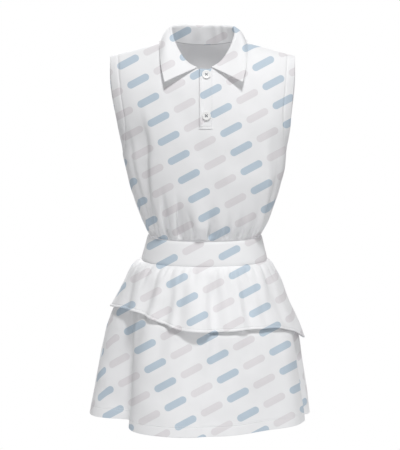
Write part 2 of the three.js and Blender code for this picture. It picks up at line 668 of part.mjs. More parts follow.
function collarGeometry() {
  const stations = neckStations();
  const lengths = [0];
  for (let k = 1; k < stations.length; k += 1) {
    lengths.push(lengths[k - 1] + stations[k].point.distanceTo(stations[k - 1].point));
  }
  const total = lengths[lengths.length - 1];
  const columns = stations.map(({ point, normal }, k) => {
    const before = stations[Math.max(0, k - 1)].point;
    const after = stations[Math.min(stations.length - 1, k + 1)].point;
    const ahead = after.clone().sub(before).normalize();
    const inwards = normal.clone().cross(ahead).normalize();
    const way = 1 - Math.abs(1 - (2 * lengths[k]) / total);
    const side = lengths[k] < total / 2 ? 1 : -1;
    const row = (column) => along(COLLAR_ROWS, 'way', way, column);
    const edge = new THREE.Vector3(way > 0.999 ? 0 : side * row('x'), row('y'), row('z'));
    const out = new THREE.Vector3(ahead.y, -ahead.x, 0).normalize();
    const rolled = smooth(way / ROLLED_WAY);
    const radius = mix(ROLL_RADIUS.front, ROLL_RADIUS.back, rolled);
    const rise = row('stand') - radius;
    const lean = STAND_LEAN * clamp01(rise / FULL_STAND);
    const inset = COLLAR_CLOTH + Math.max(0, normal.dot(out)) * CLOTH + FACET_GAP;
    const base = point.clone().addScaledVector(inwards, STAND_INSET).addScaledVector(out, -inset);
    const standPoint = (share) => base.clone()
      .addScaledVector(out, -lean * share)
      .setZ(base.z + rise * share);
    const centre = standPoint(1).addScaledVector(out, radius);
    const rollPoint = (turn) => centre.clone()
      .addScaledVector(out, -radius * Math.cos(radians(turn)))
      .setZ(centre.z + radius * Math.sin(radians(turn)));
    const turn = mix(ROLL_TURN.front, ROLL_TURN.back, rolled);
    const leafStart = keepOff(rollPoint(turn), COLLAR_CLOTH + LEAF_CLEARANCE.roll);
    const swell = mix(LEAF_SWELL.front, LEAF_SWELL.back, rolled) * leafStart.distanceTo(edge);
    const leafPoint = (share) => {
      const p = leafStart.clone().lerp(edge, share);
      p.addScaledVector(awayFromBodice(p).direction, swell * Math.sin(Math.PI * share));
      return keepOff(p, COLLAR_CLOTH + mix(LEAF_CLEARANCE.inner, LEAF_CLEARANCE.edge, share));
    };
    return [
      standPoint(0), standPoint(0.5), standPoint(1),
      rollPoint(turn / 3), rollPoint((turn * 2) / 3), leafStart, ...LEAF_SHARES.map(leafPoint),
    ];
  });
  const rows = columns[0].map((_, j) => columns.map((column) => column[j]));
  const at = (j, i) => rows[Math.min(rows.length - 1, Math.max(0, j))][
    Math.min(columns.length - 1, Math.max(0, i))];
  const nodes = rows.map((row, j) => row.map((point, i) => {
    const across = at(j, i + 1).clone().sub(at(j, i - 1));
    const rise = at(j + 1, i).clone().sub(at(j - 1, i));
    return { point, normal: across.cross(rise).normalize() };
  }));
  return wall(nodes.map((row) => [...row].reverse()).map((row) => row.map(
    ({ point, normal }) => ({ point, normal: normal.negate() }),
  )), COLLAR_CLOTH);
}

piece('collar', collarGeometry());

// Placket: a strip on the front, made from the front's own surface and moved out.
function onFront(x, z) {
  let angle = 0;
  let climb = 45;
  for (let step = 0; step < 8; step += 1) {
    angle = angleAcross(x, climb);
    climb = climbTo(angle, () => z);
  }
  return { point: torso(angle, climb), normal: normalOf(torso, angle, climb) };
}

const PLACKET_SPANS = { up: 10, across: 3 };
const PLACKET_LIFT = SEAM_GAP + PLACKET.cloth + FACET_GAP;
function placketGeometry() {
  const top = -FRONT_NECK.drop - PLACKET.belowNeck;
  const rows = spread(PLACKET_SPANS.up, PLACKET.bottom, top).map((z) => (
    spread(PLACKET_SPANS.across, PLACKET.left, PLACKET.right).map((x) => {
      const { point, normal } = onFront(x, z);
      point.y -= HALF_GAP;
      return { point: point.addScaledVector(normal, PLACKET_LIFT), normal };
    })
  ));
  return wall(rows, PLACKET.cloth);
}

piece('placket', placketGeometry());

// Buttons: a dished disc with a rim and four holes
const wasm = await Module();
wasm.setup();

function toSolid(geometry) {
  const bare = geometry.clone();
  bare.deleteAttribute('normal');
  bare.deleteAttribute('uv');
  const flat = bare.index ? bare.toNonIndexed() : bare;
  const seen = new Map();
  const vertices = [];
  const corners = [];
  const position = flat.getAttribute('position');
  for (let i = 0; i < position.count; i += 1) {
    const xyz = [position.getX(i), position.getY(i), position.getZ(i)];
    const key = xyz.map((v) => Math.round(v * 1e4)).join();
    if (!seen.has(key)) {
      seen.set(key, vertices.length / 3);
      vertices.push(...xyz);
    }
    corners.push(seen.get(key));
  }
  const triangles = [];
  for (let i = 0; i < corners.length; i += 3) {
    const [a, b, c] = corners.slice(i, i + 3);
    if (a !== b && b !== c && a !== c) triangles.push(a, b, c);
  }
  return new wasm.Manifold(new wasm.Mesh({
    numProp: 3,
    vertProperties: new Float32Array(vertices),
    triVerts: new Uint32Array(triangles),
  }));
}

function fromSolid(solid) {
  const mesh = solid.getMesh();
  const geometry = new THREE.BufferGeometry();
  geometry.setAttribute('position', new THREE.BufferAttribute(mesh.vertProperties, 3));
  geometry.setIndex(new THREE.BufferAttribute(mesh.triVerts, 1));
  geometry.computeVertexNormals();
  return geometry;
}

function buttonGeometry() {
  const { radius, thickness, rim, bevel, dish, holeRadius, holeSpread } = BUTTON;
  const profile = [
    [0, 0], [radius - bevel, 0], [radius, bevel], [radius, thickness - bevel],
    [radius - bevel, thickness], [radius - rim, thickness],
    [radius - rim - dish, thickness - dish], [0, thickness - dish],
  ].map(([r, h]) => new THREE.Vector2(r, h));
  let solid = toSolid(new THREE.LatheGeometry(profile, 24));
  for (const [sx, sz] of [[1, 1], [1, -1], [-1, 1], [-1, -1]]) {
    const hole = new THREE.CylinderGeometry(holeRadius, holeRadius, thickness * 3, 8);
    hole.translate((sx * holeSpread) / Math.SQRT2, thickness / 2, (sz * holeSpread) / Math.SQRT2);
    solid = solid.subtract(toSolid(hole));
  }
  return fromSolid(solid);
}

BUTTON_HEIGHTS.forEach((z, k) => {
  const { point, normal } = onFront(BUTTON.x, z);
  const mesh = piece(`button_${k + 1}`, buttonGeometry(), BUTTON_LOOK);
  mesh.position.copy(point).addScaledVector(normal, PLACKET_LIFT + 2 * SEAM_GAP);
  mesh.quaternion.setFromUnitVectors(new THREE.Vector3(0, 1, 0), normal);
});

const dress = new THREE.Group();
dress.add(...pieces);
export default dress;
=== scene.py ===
"""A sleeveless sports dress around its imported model: cloth shells with folds, seams and stitching."""
import math

import bpy
import numpy as np
from mathutils import Matrix, Vector


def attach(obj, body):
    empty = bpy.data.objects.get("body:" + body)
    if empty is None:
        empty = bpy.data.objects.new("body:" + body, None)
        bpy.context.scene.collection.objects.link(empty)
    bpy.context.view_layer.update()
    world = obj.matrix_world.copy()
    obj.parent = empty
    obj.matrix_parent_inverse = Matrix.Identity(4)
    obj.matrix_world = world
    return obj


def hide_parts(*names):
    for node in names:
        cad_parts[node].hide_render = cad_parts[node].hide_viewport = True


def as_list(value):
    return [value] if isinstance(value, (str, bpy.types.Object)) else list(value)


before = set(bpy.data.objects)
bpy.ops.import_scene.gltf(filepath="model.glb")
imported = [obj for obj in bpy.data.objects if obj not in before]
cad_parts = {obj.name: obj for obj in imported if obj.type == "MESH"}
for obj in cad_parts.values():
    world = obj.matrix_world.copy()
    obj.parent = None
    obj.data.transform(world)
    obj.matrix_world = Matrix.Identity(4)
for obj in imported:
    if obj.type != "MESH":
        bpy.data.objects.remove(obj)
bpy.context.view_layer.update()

# Sizes are in millimetres, as in the model's construction, and become metres when a mesh is made.
MM = 0.001
CLOTH = 1.5
BAND_CLOTH = 2.4
COLLAR_CLOTH = 1.6
SEAM_GAP = 0.3
HALF_GAP = SEAM_GAP / 2
FACET_GAP = 0.1

# The photograph's line of sight: its fall, the camera's distance and the place it looks at
SIGHT_TILT = math.radians(9.2)
SIGHT_REACH = 4100
SIGHT_CENTRE = np.array([-7.35, 0, -386.6])

BUST_Z = -240.0
WAIST_TOP_Z = -407.0
WAIST_BOTTOM_Z = -457.0
HEM_Z = -793.0
SKIRT_TOP = WAIST_BOTTOM_Z - HALF_GAP
OVERSKIRT_MIDDLE_Z = -600.0
UNDER_OVERSKIRT = {"faded": -700, "whole": -590}

NECK_HALF_WIDTH = 72
FRONT_NECK = {"drop": 54, "roundness": 2}
BACK_NECK = {"drop": 11, "roundness": 2.2}
SHOULDER_FALL = 0.28
SHOULDER_ROUNDING = 30
ARMHOLE_SEAM = {"bottom": 0.034, "front": 0.64, "back": 0.57}
ARMHOLE_EDGE = {"bottom": 0.132, "front": 0.47, "back": 0.38}

COLLAR_ENDS = {"left": -13, "right": 16, "climb": 47}
STAND_LEAN = 7
STAND_INSET = 0.45
# The collar's roll and its leaf at the front and, from ROLLED_WAY on, at the back
ROLL_RADIUS = (2, 3.4)
ROLL_TURN = (100, 150)
LEAF_SWELL = (0.02, 0.12)
LEAF_CLEARANCE = {"roll": 0.9, "inner": 1.6, "edge": 4.5}
FULL_STAND = 30
ROLLED_WAY = 0.4
PLACKET = {"left": -9.4, "right": 18, "bottom": -171, "below_neck": -1, "cloth": 1.2}


def table(columns, *rows):
    """A table as one array for each named column."""
    return {name: np.array([row[k] for row in rows], float) for k, name in enumerate(columns.split())}


def sections(*rows):
    """Rounded sections of the dress: their level, half width, depth to the front and to the back,
    shift to the side, and how square they are."""
    return table("z half front back shift square", *rows)


# The bodice below the bust
BODICE_SECTIONS = sections(
    (-407, 117.5, 89, 83, 2.6, 2.2),
    (-395, 124, 97, 89, 3, 2.2),
    (-376, 133, 105, 95, 4, 2.25),
    (-325, 150, 114, 101, 3.8, 2.3),
    (-275, 164, 118, 102, 3.6, 2.4),
    (-240, 170, 119, 101, 2, 2.4),
)
BUST = {name: column[-1] for name, column in BODICE_SECTIONS.items()}
SHOULDER_SPREAD = table(
    "share half shift",
    (0, 170, 2), (0.13, 173, 2), (0.33, 187, 1), (0.5, 196, -1), (0.75, 202, -2), (1, 202.5, -2),
)
WAISTBAND_SECTIONS = sections(
    (-457, 132.5, 101, 94, 1.6, 2.15),
    (-432, 126, 96.5, 89.5, 2, 2.15),
    (-407, 119.5, 91.5, 85, 2.6, 2.2),
)
SKIRT_SECTIONS = sections(
    (-793, 236, 200, 188, -8, 1.8),
    (-725, 225, 189, 177, -6, 1.86),
    (-646, 211, 174, 163, -4, 1.95),
    (-582, 195, 157, 147, -3.4, 2),
    (-543, 178, 143, 133, -3, 2.07),
    (-504, 161, 128, 119, -2, 2.12),
    (-478, 147, 114, 106, -1.5, 2.14),
    (-457, 130.7, 99.2, 92.2, 1.6, 2.15),
)
OVERSKIRT_SECTIONS = sections(
    (-640, 215, 186, 174, -3, 2),
    (-582, 199, 168, 157, -3.4, 2.06),
    (-543, 182, 151.5, 141, -3, 2.1),
    (-504, 166, 134.5, 125, -2, 2.14),
    (-478, 153, 120, 112, -1.5, 2.15),
    (-466, 144.5, 111.5, 104, 0, 2.15),
    (-457, 132.5, 101, 94, 1.6, 2.15),
)
# The slanted lower edge of the overskirt, round the body from the front centre
OVERSKIRT_EDGE = table(
    "angle z",
    (-135, -574), (-90, -560), (-70, -552), (-48, -551), (-28, -564), (-12, -577), (0, -581),
    (30, -580), (50, -584), (68, -598), (90, -628), (125, -622), (180, -596), (225, -574),
    (270, -560), (290, -552),
)

def folds(end, *rows):
    """Folds, each a soft ridge (+) or trough (-). At the level called gone it dies out at the angle
    high. It has its full depth from the level called full on, and at the end of the cloth it is
    at the angle low. Left and right are its soft widths, in degrees."""
    return end, table("low high bend left right depth full gone", *rows)


BODICE_FOLDS = folds(
    WAIST_TOP_Z,
    (-62, -38, 2, 13, 4.5, -12, -240, -90),
    (-80, -70, 1, 7, 6, -5, -360, -210),
    (-37.5, -27, 1, 3.5, 3.5, -6, -395, -300),
    (-21.5, -14, 1, 3, 7, -8, -392, -300),
    (-3.5, -7, 1, 6, 5, 7, -385, -255),
    (5, 3, 1, 3.5, 6, -6, -398, -310),
    (20, 15, 1, 4, 4, -4, -405, -340),
    (33, 26, 1, 4, 5, -4.5, -400, -335),
    (49, 39, 1, 5, 4, -4.5, -400, -330),
    (61, 42, 2, 6, 6, 5, -300, -110),
    (76, 72, 1, 6, 7, -5, -407, -300),
    (112, 116, 1, 8, 8, -6, -407, -270),
    (138, 132, 1, 5, 9, -8, -380, -180),
    (158, 154, 1, 5, 6, -6, -400, -320),
    (174, 178, 1, 7, 6, -6, -400, -290),
    (193, 196, 1, 6, 5, -7, -400, -335),
    (216, 224, 1.5, 10, 6, -9, -360, -190),
    (245, 240, 1, 8, 7, -5, -407, -300),
)
SKIRT_FOLDS = folds(
    HEM_Z,
    (-59, -61, 1, 16, 14, -66, -793, -425),
    (4, 3, 1, 10, 10, -6, -793, -560),
    (42, 42, 1, 13, 12, -9, -793, -520),
    (81, 78, 1, 6, 7, -15, -793, -510),
    (118, 116, 1, 9, 16, -40, -793, -470),
    (150, 151, 1, 12, 10, -20, -793, -520),
    (183, 181, 1, 15, 9, -34, -793, -480),
    (214, 216, 1, 11, 11, -20, -793, -510),
    (240, 240, 1, 9, 13, -36, -793, -470),
)
OVERSKIRT_FOLDS = folds(
    OVERSKIRT_MIDDLE_Z,
    (-90, -90, 1, 12, 12, 3.5, -565, -520),
    (-60, -72, 1, 8, 6, -6, -520, -458),
    (-44, -42, 1, 5, 7, -5, -520, -458),
    (-26, -24, 1, 6, 5, -5, -540, -458),
    (-4, -3, 1, 9, 9, 7, -600, -530),
    (8, 7, 1, 4, 7, -8, -525, -458),
    (31, 33, 1, 6, 6, -5, -540, -458),
    (50, 56, 1, 6, 6, -4, -540, -458),
    (82, 84, 1, 10, 10, 6, -625, -560),
    (118, 122, 1, 8, 8, -6, -560, -458),
    (148, 150, 1, 7, 6, -5, -560, -458),
    (178, 176, 1, 8, 9, -7, -560, -458),
    (206, 205, 1, 7, 6, -5, -550, -458),
    (238, 236, 1, 8, 8, -6, -540, -458),
)

# Finer folds, which only the cloth has
BODICE_CREASES = folds(
    WAIST_TOP_Z,
    (-52, -43, 1, 2.2, 3, -7, -400, -310),
    (-37.5, -29, 1, 2.4, 2, -10, -398, -280),
    (-24, -17, 1, 2, 2.4, -10, -396, -285),
    (-9.5, -12, 1, 1.6, 2.4, -5, -398, -330),
    (4.5, 3, 1, 2, 3.2, -6.5, -398, -300),
    (19.5, 16, 1, 2.4, 3, -4.5, -400, -330),
    (33, 28, 1, 2.4, 3.2, -5.5, -400, -325),
    (51, 44, 1, 3, 3, -4.5, -400, -320),
    (66, 58, 1, 3, 5, -5.5, -395, -200),
    (-66, -56, 1, 5, 3, -6, -380, -110),
    (140, 134, 1, 2.5, 4, -3.5, -395, -290),
    (160, 156, 1, 3, 3, -3, -400, -330),
    (196, 199, 1, 3, 3, -3.5, -398, -320),
    (217, 224, 1, 4, 3, -4, -395, -270),
)
SKIRT_CREASES = folds(
    HEM_Z,
    (8, 6, 1, 12, 24, -11, -690, -560),
    (28, 28, 1, 20, 20, -6, -793, -560),
    (-24, -24, 1, 20, 16, 6, -793, -560),
    (56, 52, 1, 12, 10, 8, -680, -560),
    (80, 74, 1, 6, 7, -6, -640, -560),
    (150, 150, 1, 14, 14, -5, -720, -560),
    (200, 200, 1, 12, 16, 5, -720, -560),
)
OVERSKIRT_CREASES = folds(
    OVERSKIRT_MIDDLE_Z,
    (-58, -66, 1, 5, 5, -5.6, -512, -460),
    (-43, -37, 1, 5, 4.4, -6.3, -512, -460),
    (-25, -22, 1, 5.6, 4.4, -8.4, -512, -460),
    (-14, -13, 1, 3.8, 3.8, -4.9, -507, -460),
    (-3, -4, 1, 7.5, 7.5, 4.9, -560, -480),
    (8, 5.5, 1, 4, 5, -8.4, -512, -460),
    (19, 17, 1, 4.4, 5, -5.6, -512, -460),
    (32, 30, 1, 4.4, 5.6, -6.3, -512, -460),
    (44, 42, 1, 5, 5, -4.9, -512, -460),
    (62, 58, 1, 6.2, 6.2, -5.6, -522, -460),
    (110, 114, 1, 5, 6.2, -7.7, -522, -460),
    (134, 137, 1, 5, 5, -6.3, -512, -460),
    (152, 153, 1, 4.4, 5, -6.3, -512, -460),
    (178, 176, 1, 5, 5, -7.7, -512, -460),
    (206, 205, 1, 5, 4.4, -6.3, -512, -460),
    (228, 227, 1, 5, 6.2, -6.3, -517, -460),
)

# The collar on one side, from its front end round to the centre back. Each row gives the share
# of the way, the height of the stand, and the outer edge of the leaf.
COLLAR_ROWS = table(
    "way stand x y z",
    (0, 2.4, 79, -97, -76),
    (0.14, 4.5, 83, -88, -61),
    (0.28, 11, 87, -75, -45),
    (0.42, 19, 89.5, -54, -22),
    (0.56, 27, 90, -16, -4),
    (0.68, 33, 82, 26, -3),
    (0.8, 38, 60, 54, -14),
    (0.9, 40, 32, 68, -20),
    (1, 40, 0, 73, -22),
)


# Small mathematics
def mix(a, b, share):
    return a + (b - a) * share


def smooth(value):
    v = np.clip(value, 0, 1)
    return v * v * (3 - 2 * v)


def sine(degrees):
    return np.sin(np.radians(degrees))


def cosine(degrees):
    return np.cos(np.radians(degrees))


def bell(offset):
    """A soft ridge of height 1, for an offset that is counted in its widths."""
    return np.exp(-(offset**2))


def signed_power(value, power):
    return np.sign(value) * np.abs(value) ** power


def arcsine(value):
    return np.degrees(np.arcsin(np.clip(value, -1, 1)))


def turned_from(first, angle):
    """The same direction as an angle, in the full turn that starts at another."""
    return (angle - first) % 360 + first


TINY = 1e-9


def unit(vectors):
    return vectors / np.maximum(np.linalg.norm(vectors, axis=-1, keepdims=True), TINY)


def along(rows, key, at, column):
    """A smooth curve through a table: the value of a column where the rising key column is at."""
    keys, values = rows[key], rows[column]
    slopes = np.empty_like(values)
    slopes[1:-1] = (values[2:] - values[:-2]) / (keys[2:] - keys[:-2])
    slopes[0] = (values[1] - values[0]) / (keys[1] - keys[0])
    slopes[-1] = (values[-1] - values[-2]) / (keys[-1] - keys[-2])
    i = np.clip(np.searchsorted(keys, at) - 1, 0, len(keys) - 2)
    span = keys[i + 1] - keys[i]
    t = np.clip((at - keys[i]) / span, 0, 1)
    rise = 3 * t**2 - 2 * t**3
    start = (t**3 - 2 * t**2 + t) * span * slopes[i]
    end = (t**3 - t**2) * span * slopes[i + 1]
    return mix(values[i], values[i + 1], rise) + start + end


def fold_depth(ended_folds, angle, z):
    """The sum of a table's folds at an angle, in degrees, and a level."""
    end, rows = ended_folds
    depth = np.zeros(np.broadcast(angle, z).shape)
    for low, high, bend, left, right, deep, full, gone in zip(*rows.values()):
        grown = smooth((z - gone) / (full - gone))
        way = np.clip((z - gone) / (end - gone), 0, 1) ** bend
        off = turned_from(-180, angle - mix(high, low, way))
        depth = depth + deep * grown * bell(off / np.where(off < 0, left, right))
    return depth


def section_at(rows, z):
    return {column: along(rows, "z", z, column) for column in rows if column != "z"}


def section_point(section, angle, out):
    """x and y on a rounded section at an angle from the front centre, moved out by some depth."""
    s, c = sine(angle), cosine(angle)
    power = 2 / section["square"]
    deep = np.where(c >= 0, section["front"], section["back"])
    across = signed_power(s, 2 - power) / section["half"]
    ahead = -signed_power(c, 2 - power) / deep
    size = np.hypot(across, ahead)
    x = section["shift"] + section["half"] * signed_power(s, power) + out * across / size
    y = -deep * signed_power(c, power) + out * ahead / size
    return x, y


# The garment's surfaces
def shoulder_height(x):
    """The shoulder line's height above any place across the body."""
    return SHOULDER_FALL * (math.hypot(NECK_HALF_WIDTH, SHOULDER_ROUNDING) - np.hypot(x, SHOULDER_ROUNDING))


def shoulder_spread(share):
    return (along(SHOULDER_SPREAD, "share", share, column) for column in ("half", "shift"))


def torso_section(climb):
    section = section_at(BODICE_SECTIONS, BUST_Z + np.minimum(climb, 0))
    share = sine(np.maximum(climb, 0))
    for column, spread in zip(("half", "shift"), shoulder_spread(share)):
        section[column] = np.where(climb > 0, spread, section[column])
    return section


def torso(angle, climb):
    """The bodice at an angle round the body. Below the bust, climb is a level in millimetres under
    it, as a negative number. Above, it is an angle from 0 at the bust to 90 on the shoulder seam."""
    section = torso_section(climb)
    turn = np.radians(np.maximum(climb, 0))
    flat_x, _ = section_point({**section, "shift": 0}, angle, 0)
    z = BUST_Z + np.minimum(climb, 0) + np.sin(turn) * (shoulder_height(flat_x) - BUST_Z)
    out = fold_depth(BODICE_FOLDS, angle, z) * np.cos(turn)
    x, y = section_point(section, angle, out)
    return np.stack([x, y * np.cos(turn), z], -1)


def angle_across(x, climb):
    """The angle round the body of a place across it, at a climb above the bust."""
    half, shift = shoulder_spread(sine(climb))
    return arcsine(signed_power((x - shift) / half, BUST["square"] / 2))


NECK_ANGLE = float(angle_across(NECK_HALF_WIDTH + SHOULDER_SPREAD["shift"][-1], 90))


# How often climb_to halves the span in which it looks for a level
HALVINGS = 40


def climb_to(angle, level):
    """The climb at which a column of the bodice meets a level that may depend on x."""
    low, high = np.full(np.shape(angle), 1.0), np.full(np.shape(angle), 90.0)
    for _ in range(HALVINGS):
        middle = (low + high) / 2
        place = torso(angle, middle)
        under = place[..., 2] < level(place[..., 0])
        low, high = np.where(under, middle, low), np.where(under, high, middle)
    return (low + high) / 2


def neckline(neck):
    def level(x):
        return -neck["drop"] * (1 - np.minimum(1, np.abs(x) / NECK_HALF_WIDTH) ** neck["roundness"])
    return level


def armhole_point(way, line, half):
    """One side of an armhole: a way from 0 under the arm to 1 on the shoulder seam gives the climb
    and the angle from the front centre or the back one."""
    turn = np.pi * way
    share = line["bottom"] + (1 - line["bottom"]) * (1 - np.cos(turn)) / 2
    at_top = (line["front"] + line["back"]) / 2
    deepest = mix(line[half], at_top, smooth(2 * way - 1))
    deep = deepest * np.sin(np.minimum(turn, np.pi / 2))
    return arcsine(share), 90 - arcsine(deep ** (BUST["square"] / 2))


def ring_point(rows, angle, z, out):
    x, y = section_point(section_at(rows, z), angle, out)
    return np.stack([x, y, z + 0 * x], -1)


def overskirt(angle, z):
    return ring_point(OVERSKIRT_SECTIONS, angle, z, fold_depth(OVERSKIRT_FOLDS, angle, z))


def skirt(angle, z):
    """The skirt has the overskirt's troughs as well where it lies under them."""
    troughs = np.minimum(0, fold_depth(OVERSKIRT_FOLDS, angle, z))
    faded, whole = UNDER_OVERSKIRT["faded"], UNDER_OVERSKIRT["whole"]
    out = fold_depth(SKIRT_FOLDS, angle, z) + troughs * smooth((z - faded) / (whole - faded))
    return ring_point(SKIRT_SECTIONS, angle, z, out)


def overskirt_edge(angle):
    return along(OVERSKIRT_EDGE, "angle", turned_from(-90, angle), "z")


# Grids of points. Rows run upwards and each row runs anticlockwise seen from above.
def grid_normals(points):
    """Outward normals of a grid of points, from its own rows and columns."""
    return unit(np.cross(np.gradient(points, axis=1), np.gradient(points, axis=0)))


def spaced(count, start, end, extra=(0.2, 0.5)):
    """Equal steps from start to end, with closer ones next to both ends, where the seams lie."""
    step = 1 / count
    near, far = [step * e for e in extra], [1 - step * e for e in extra[::-1]]
    return mix(start, end, np.concatenate([[0], near, np.linspace(step, 1 - step, count - 1), far, [1]]))


def lengths_along(points):
    """How far each point lies from the first one, along the lines that run down the first axis."""
    steps = np.linalg.norm(np.diff(points, axis=0), axis=-1)
    return np.concatenate([np.zeros_like(steps[:1]), np.cumsum(steps, axis=0)])


def distance_in(points, side):
    """How far each point of a grid lies from one of its edges, along the cloth."""
    across, back = side in ("left", "right"), -1 if side in ("top", "right") else 1
    lines = points.swapaxes(0, 1) if across else points
    far = lengths_along(lines[::back])[::back]
    return far.T if across else far


SEAM_TUCK = {"depth": 1.0, "reach": 2.2}


def tucked(points, sides):
    """The cloth drawn in a little along its sewn edges."""
    normals = grid_normals(points)
    for side in sides:
        near = bell(distance_in(points, side) / SEAM_TUCK["reach"])
        points = points - normals * SEAM_TUCK["depth"] * near[..., None]
    return points


# The cloth's unevenness: the length and the height of its waves, and what it adds to a seed
UNEVEN = {
    "bodice": (70, 0.8, 0),
    "waistband": (90, 0.35, 5),
    "skirt": (80, 1.0, 1),
    "overskirt": (60, 0.8, 2),
}
WAVES = 14
WAVE_LENGTHS = (0.6, 1.6)


def uneven(points, kind, seed=0):
    """A smooth random height at each point, as real cloth is never quite even."""
    size, height, added = UNEVEN[kind]
    rng = np.random.default_rng(seed + added)
    total = np.zeros(points.shape[:-1])
    for _ in range(WAVES):
        direction = unit(rng.normal(size=3))
        wave = size * rng.uniform(*WAVE_LENGTHS)
        total += np.sin(points @ direction * 2 * np.pi / wave + rng.uniform(0, 2 * np.pi))
    return height * total / math.sqrt(WAVES)


# The print lies as if it had come down on the dress along a line of sight, from the front and the
# back alike, and follows the cloth where that turns away from it at the sides.
# It starts to follow it, and follows it wholly, where so small a share of a step round the body
# is across the sight. On the shoulders it rises by LEAST_RISE of the cloth's own length at least.
TURNED_AWAY = {"front": (0.42, 0.15), "back": (0.85, 0.5)}
LEAST_RISE = 0.5
STEPS_ROUND = 40
SIDE_SWITCH = 4


def laid(u, y, z):
    """The place on the print of points that lie at u across it."""
    up = z - SIGHT_CENTRE[2]
    fall, level = math.sin(SIGHT_TILT), math.cos(SIGHT_TILT)
    grown = SIGHT_REACH / (SIGHT_REACH - (up * fall - y * level))
    return np.stack([(u - SIGHT_CENTRE[0]) * grown, (y * fall + up * level) * grown], -1)


def laid_round(points, section, centre, angle, climb=0.0):
    """The place on the print of a grid of points round the body, from the middle of their panel."""
    ways = np.linspace(0, 1, STEPS_ROUND + 1)
    full = {name: value[..., None] for name, value in section.items()}
    x, y = section_point(full, centre + (angle - centre)[..., None] * ways, 0)
    flatten = cosine(np.maximum(climb, 0))
    dx, dy = np.abs(np.diff(x)), np.diff(y) * np.asarray(flatten)[..., None]
    length = np.maximum(np.hypot(dx, dy), TINY)
    in_front = y[..., 1:] < 0
    starts, fully = (np.where(in_front, *pair) for pair in zip(TURNED_AWAY["front"], TURNED_AWAY["back"]))
    away = smooth((starts - dx / length) / (starts - fully))
    reached = mix(dx, length, away).sum(-1)
    facing = np.clip(SIDE_SWITCH * cosine(angle), -1, 1)
    u = section["shift"] + np.sign(angle - centre) * reached + facing * (points[..., 0] - x[..., -1])
    places = laid(u, -np.abs(points[..., 1]), points[..., 2])
    places[..., 1] += shoulder_surplus(climb)
    return places


def shoulder_surplus(climb):
    """What keeps the print from crowding together on the shoulders."""
    turns = np.radians(np.linspace(0, 90, 91))
    rises = -BUST_Z * np.cos(turns)
    lengths = np.hypot(rises, BUST["front"] * np.sin(turns))
    surplus = np.maximum(rises, LEAST_RISE * lengths) - rises
    total = np.concatenate([[0], np.cumsum((surplus[1:] + surplus[:-1]) / 2 * np.diff(turns))])
    return np.interp(np.maximum(climb, 0), np.degrees(turns), total)


# Cloth shells
REVERSE_SIDE = 1
SHARP_CLOTH = math.radians(62)
RIM_OUT = 0.4


def add_object(name, data):
    obj = bpy.data.objects.new(name, data)
    bpy.context.scene.collection.objects.link(obj)
    return obj


def smooth_mesh(name, vertices, faces):
    """A mesh in metres, from vertices in millimetres."""
    mesh = bpy.data.meshes.new(name)
    mesh.from_pydata((np.asarray(vertices, float) * MM).tolist(), [], faces)
    mesh.shade_smooth()
    return mesh


def mapped_object(name, vertices, faces, uvs, inside):
    """uvs holds a place on the printed cloth for each corner of each face, in millimetres, and
    inside numbers the faces that show the cloth's reverse side."""
    mesh = smooth_mesh(name, vertices, faces.tolist())
    mesh.uv_layers.new(name="cloth").data.foreach_set("uv", (uvs * MM).ravel())
    sides = np.zeros(len(faces), np.int32)
    sides[inside] = REVERSE_SIDE
    mesh.polygons.foreach_set("material_index", sides)
    mesh.set_sharp_from_angle(angle=SHARP_CLOTH)
    mesh.update()
    return add_object(name, mesh)


def shell(name, points, thickness, places, places_above=None, free=()):
    """A closed wall from a grid of points on its outer face. places gives each point its place on
    the printed cloth, and places_above the ones that hold for the faces above each row, where the
    print is cut between two rows. Free edges are rounded, and the others are cut for a seam."""
    rows, columns = points.shape[:2]
    count = rows * columns
    normals = grid_normals(points)
    places_above = places if places_above is None else places_above
    grid = np.arange(count).reshape(rows, columns)
    away = np.zeros_like(points)
    beside = {
        "bottom": (np.s_[0], np.s_[1]), "top": (np.s_[-1], np.s_[-2]),
        "left": (np.s_[:, 0], np.s_[:, 1]), "right": (np.s_[:, -1], np.s_[:, -2]),
    }
    for side in free:
        edge, next_in = beside[side]
        away[edge] += unit(points[edge] - points[next_in])
    middle = points - normals * thickness / 2 + unit(away) * thickness * RIM_OUT
    layers = (points, points - normals * thickness, middle)
    vertices = np.concatenate([layer.reshape(-1, 3) for layer in layers])

    corners = (grid[:-1, :-1], grid[:-1, 1:], grid[1:, 1:], grid[1:, :-1])
    outer_faces = np.stack(corners, -1).reshape(-1, 4)
    inner_faces = outer_faces[:, [0, 3, 2, 1]] + count
    loop = np.concatenate([grid[0], grid[1:, -1], grid[-1, -2::-1], grid[-2:0:-1, 0]])
    ahead = np.roll(loop, -1)
    rim = [
        np.stack([loop, loop + 2 * count, ahead + 2 * count, ahead], -1),
        np.stack([loop + 2 * count, loop + count, ahead + count, ahead + 2 * count], -1),
    ]
    faces = np.concatenate([outer_faces, inner_faces, *rim])

    low, high = places_above.reshape(-1, 2), places.reshape(-1, 2)
    outer_uvs = np.concatenate([low[outer_faces[:, :2]], high[outer_faces[:, 2:]]], 1)
    rim_uvs = high[np.concatenate(rim) % count]
    uvs = np.concatenate([outer_uvs, outer_uvs[:, [0, 3, 2, 1]], rim_uvs])
    inside = np.arange(len(outer_faces), 2 * len(outer_faces))
    used, faces = np.unique(faces, return_inverse=True)
    return mapped_object(name, vertices[used], faces.reshape(-1, 4), uvs, inside)


# The lines of stitches, by the name of their cloth
SEWN = {}


def sew(name, points, heights, lines):
    """Keeps the rows of a grid of points that lie next to some heights, as lines of stitches."""
    normals = grid_normals(points)
    rows = [int(np.abs(np.ravel(heights) - line).argmin()) for line in lines]
    SEWN[name] = [(points[row, 2:-2], normals[row, 2:-2]) for row in rows]


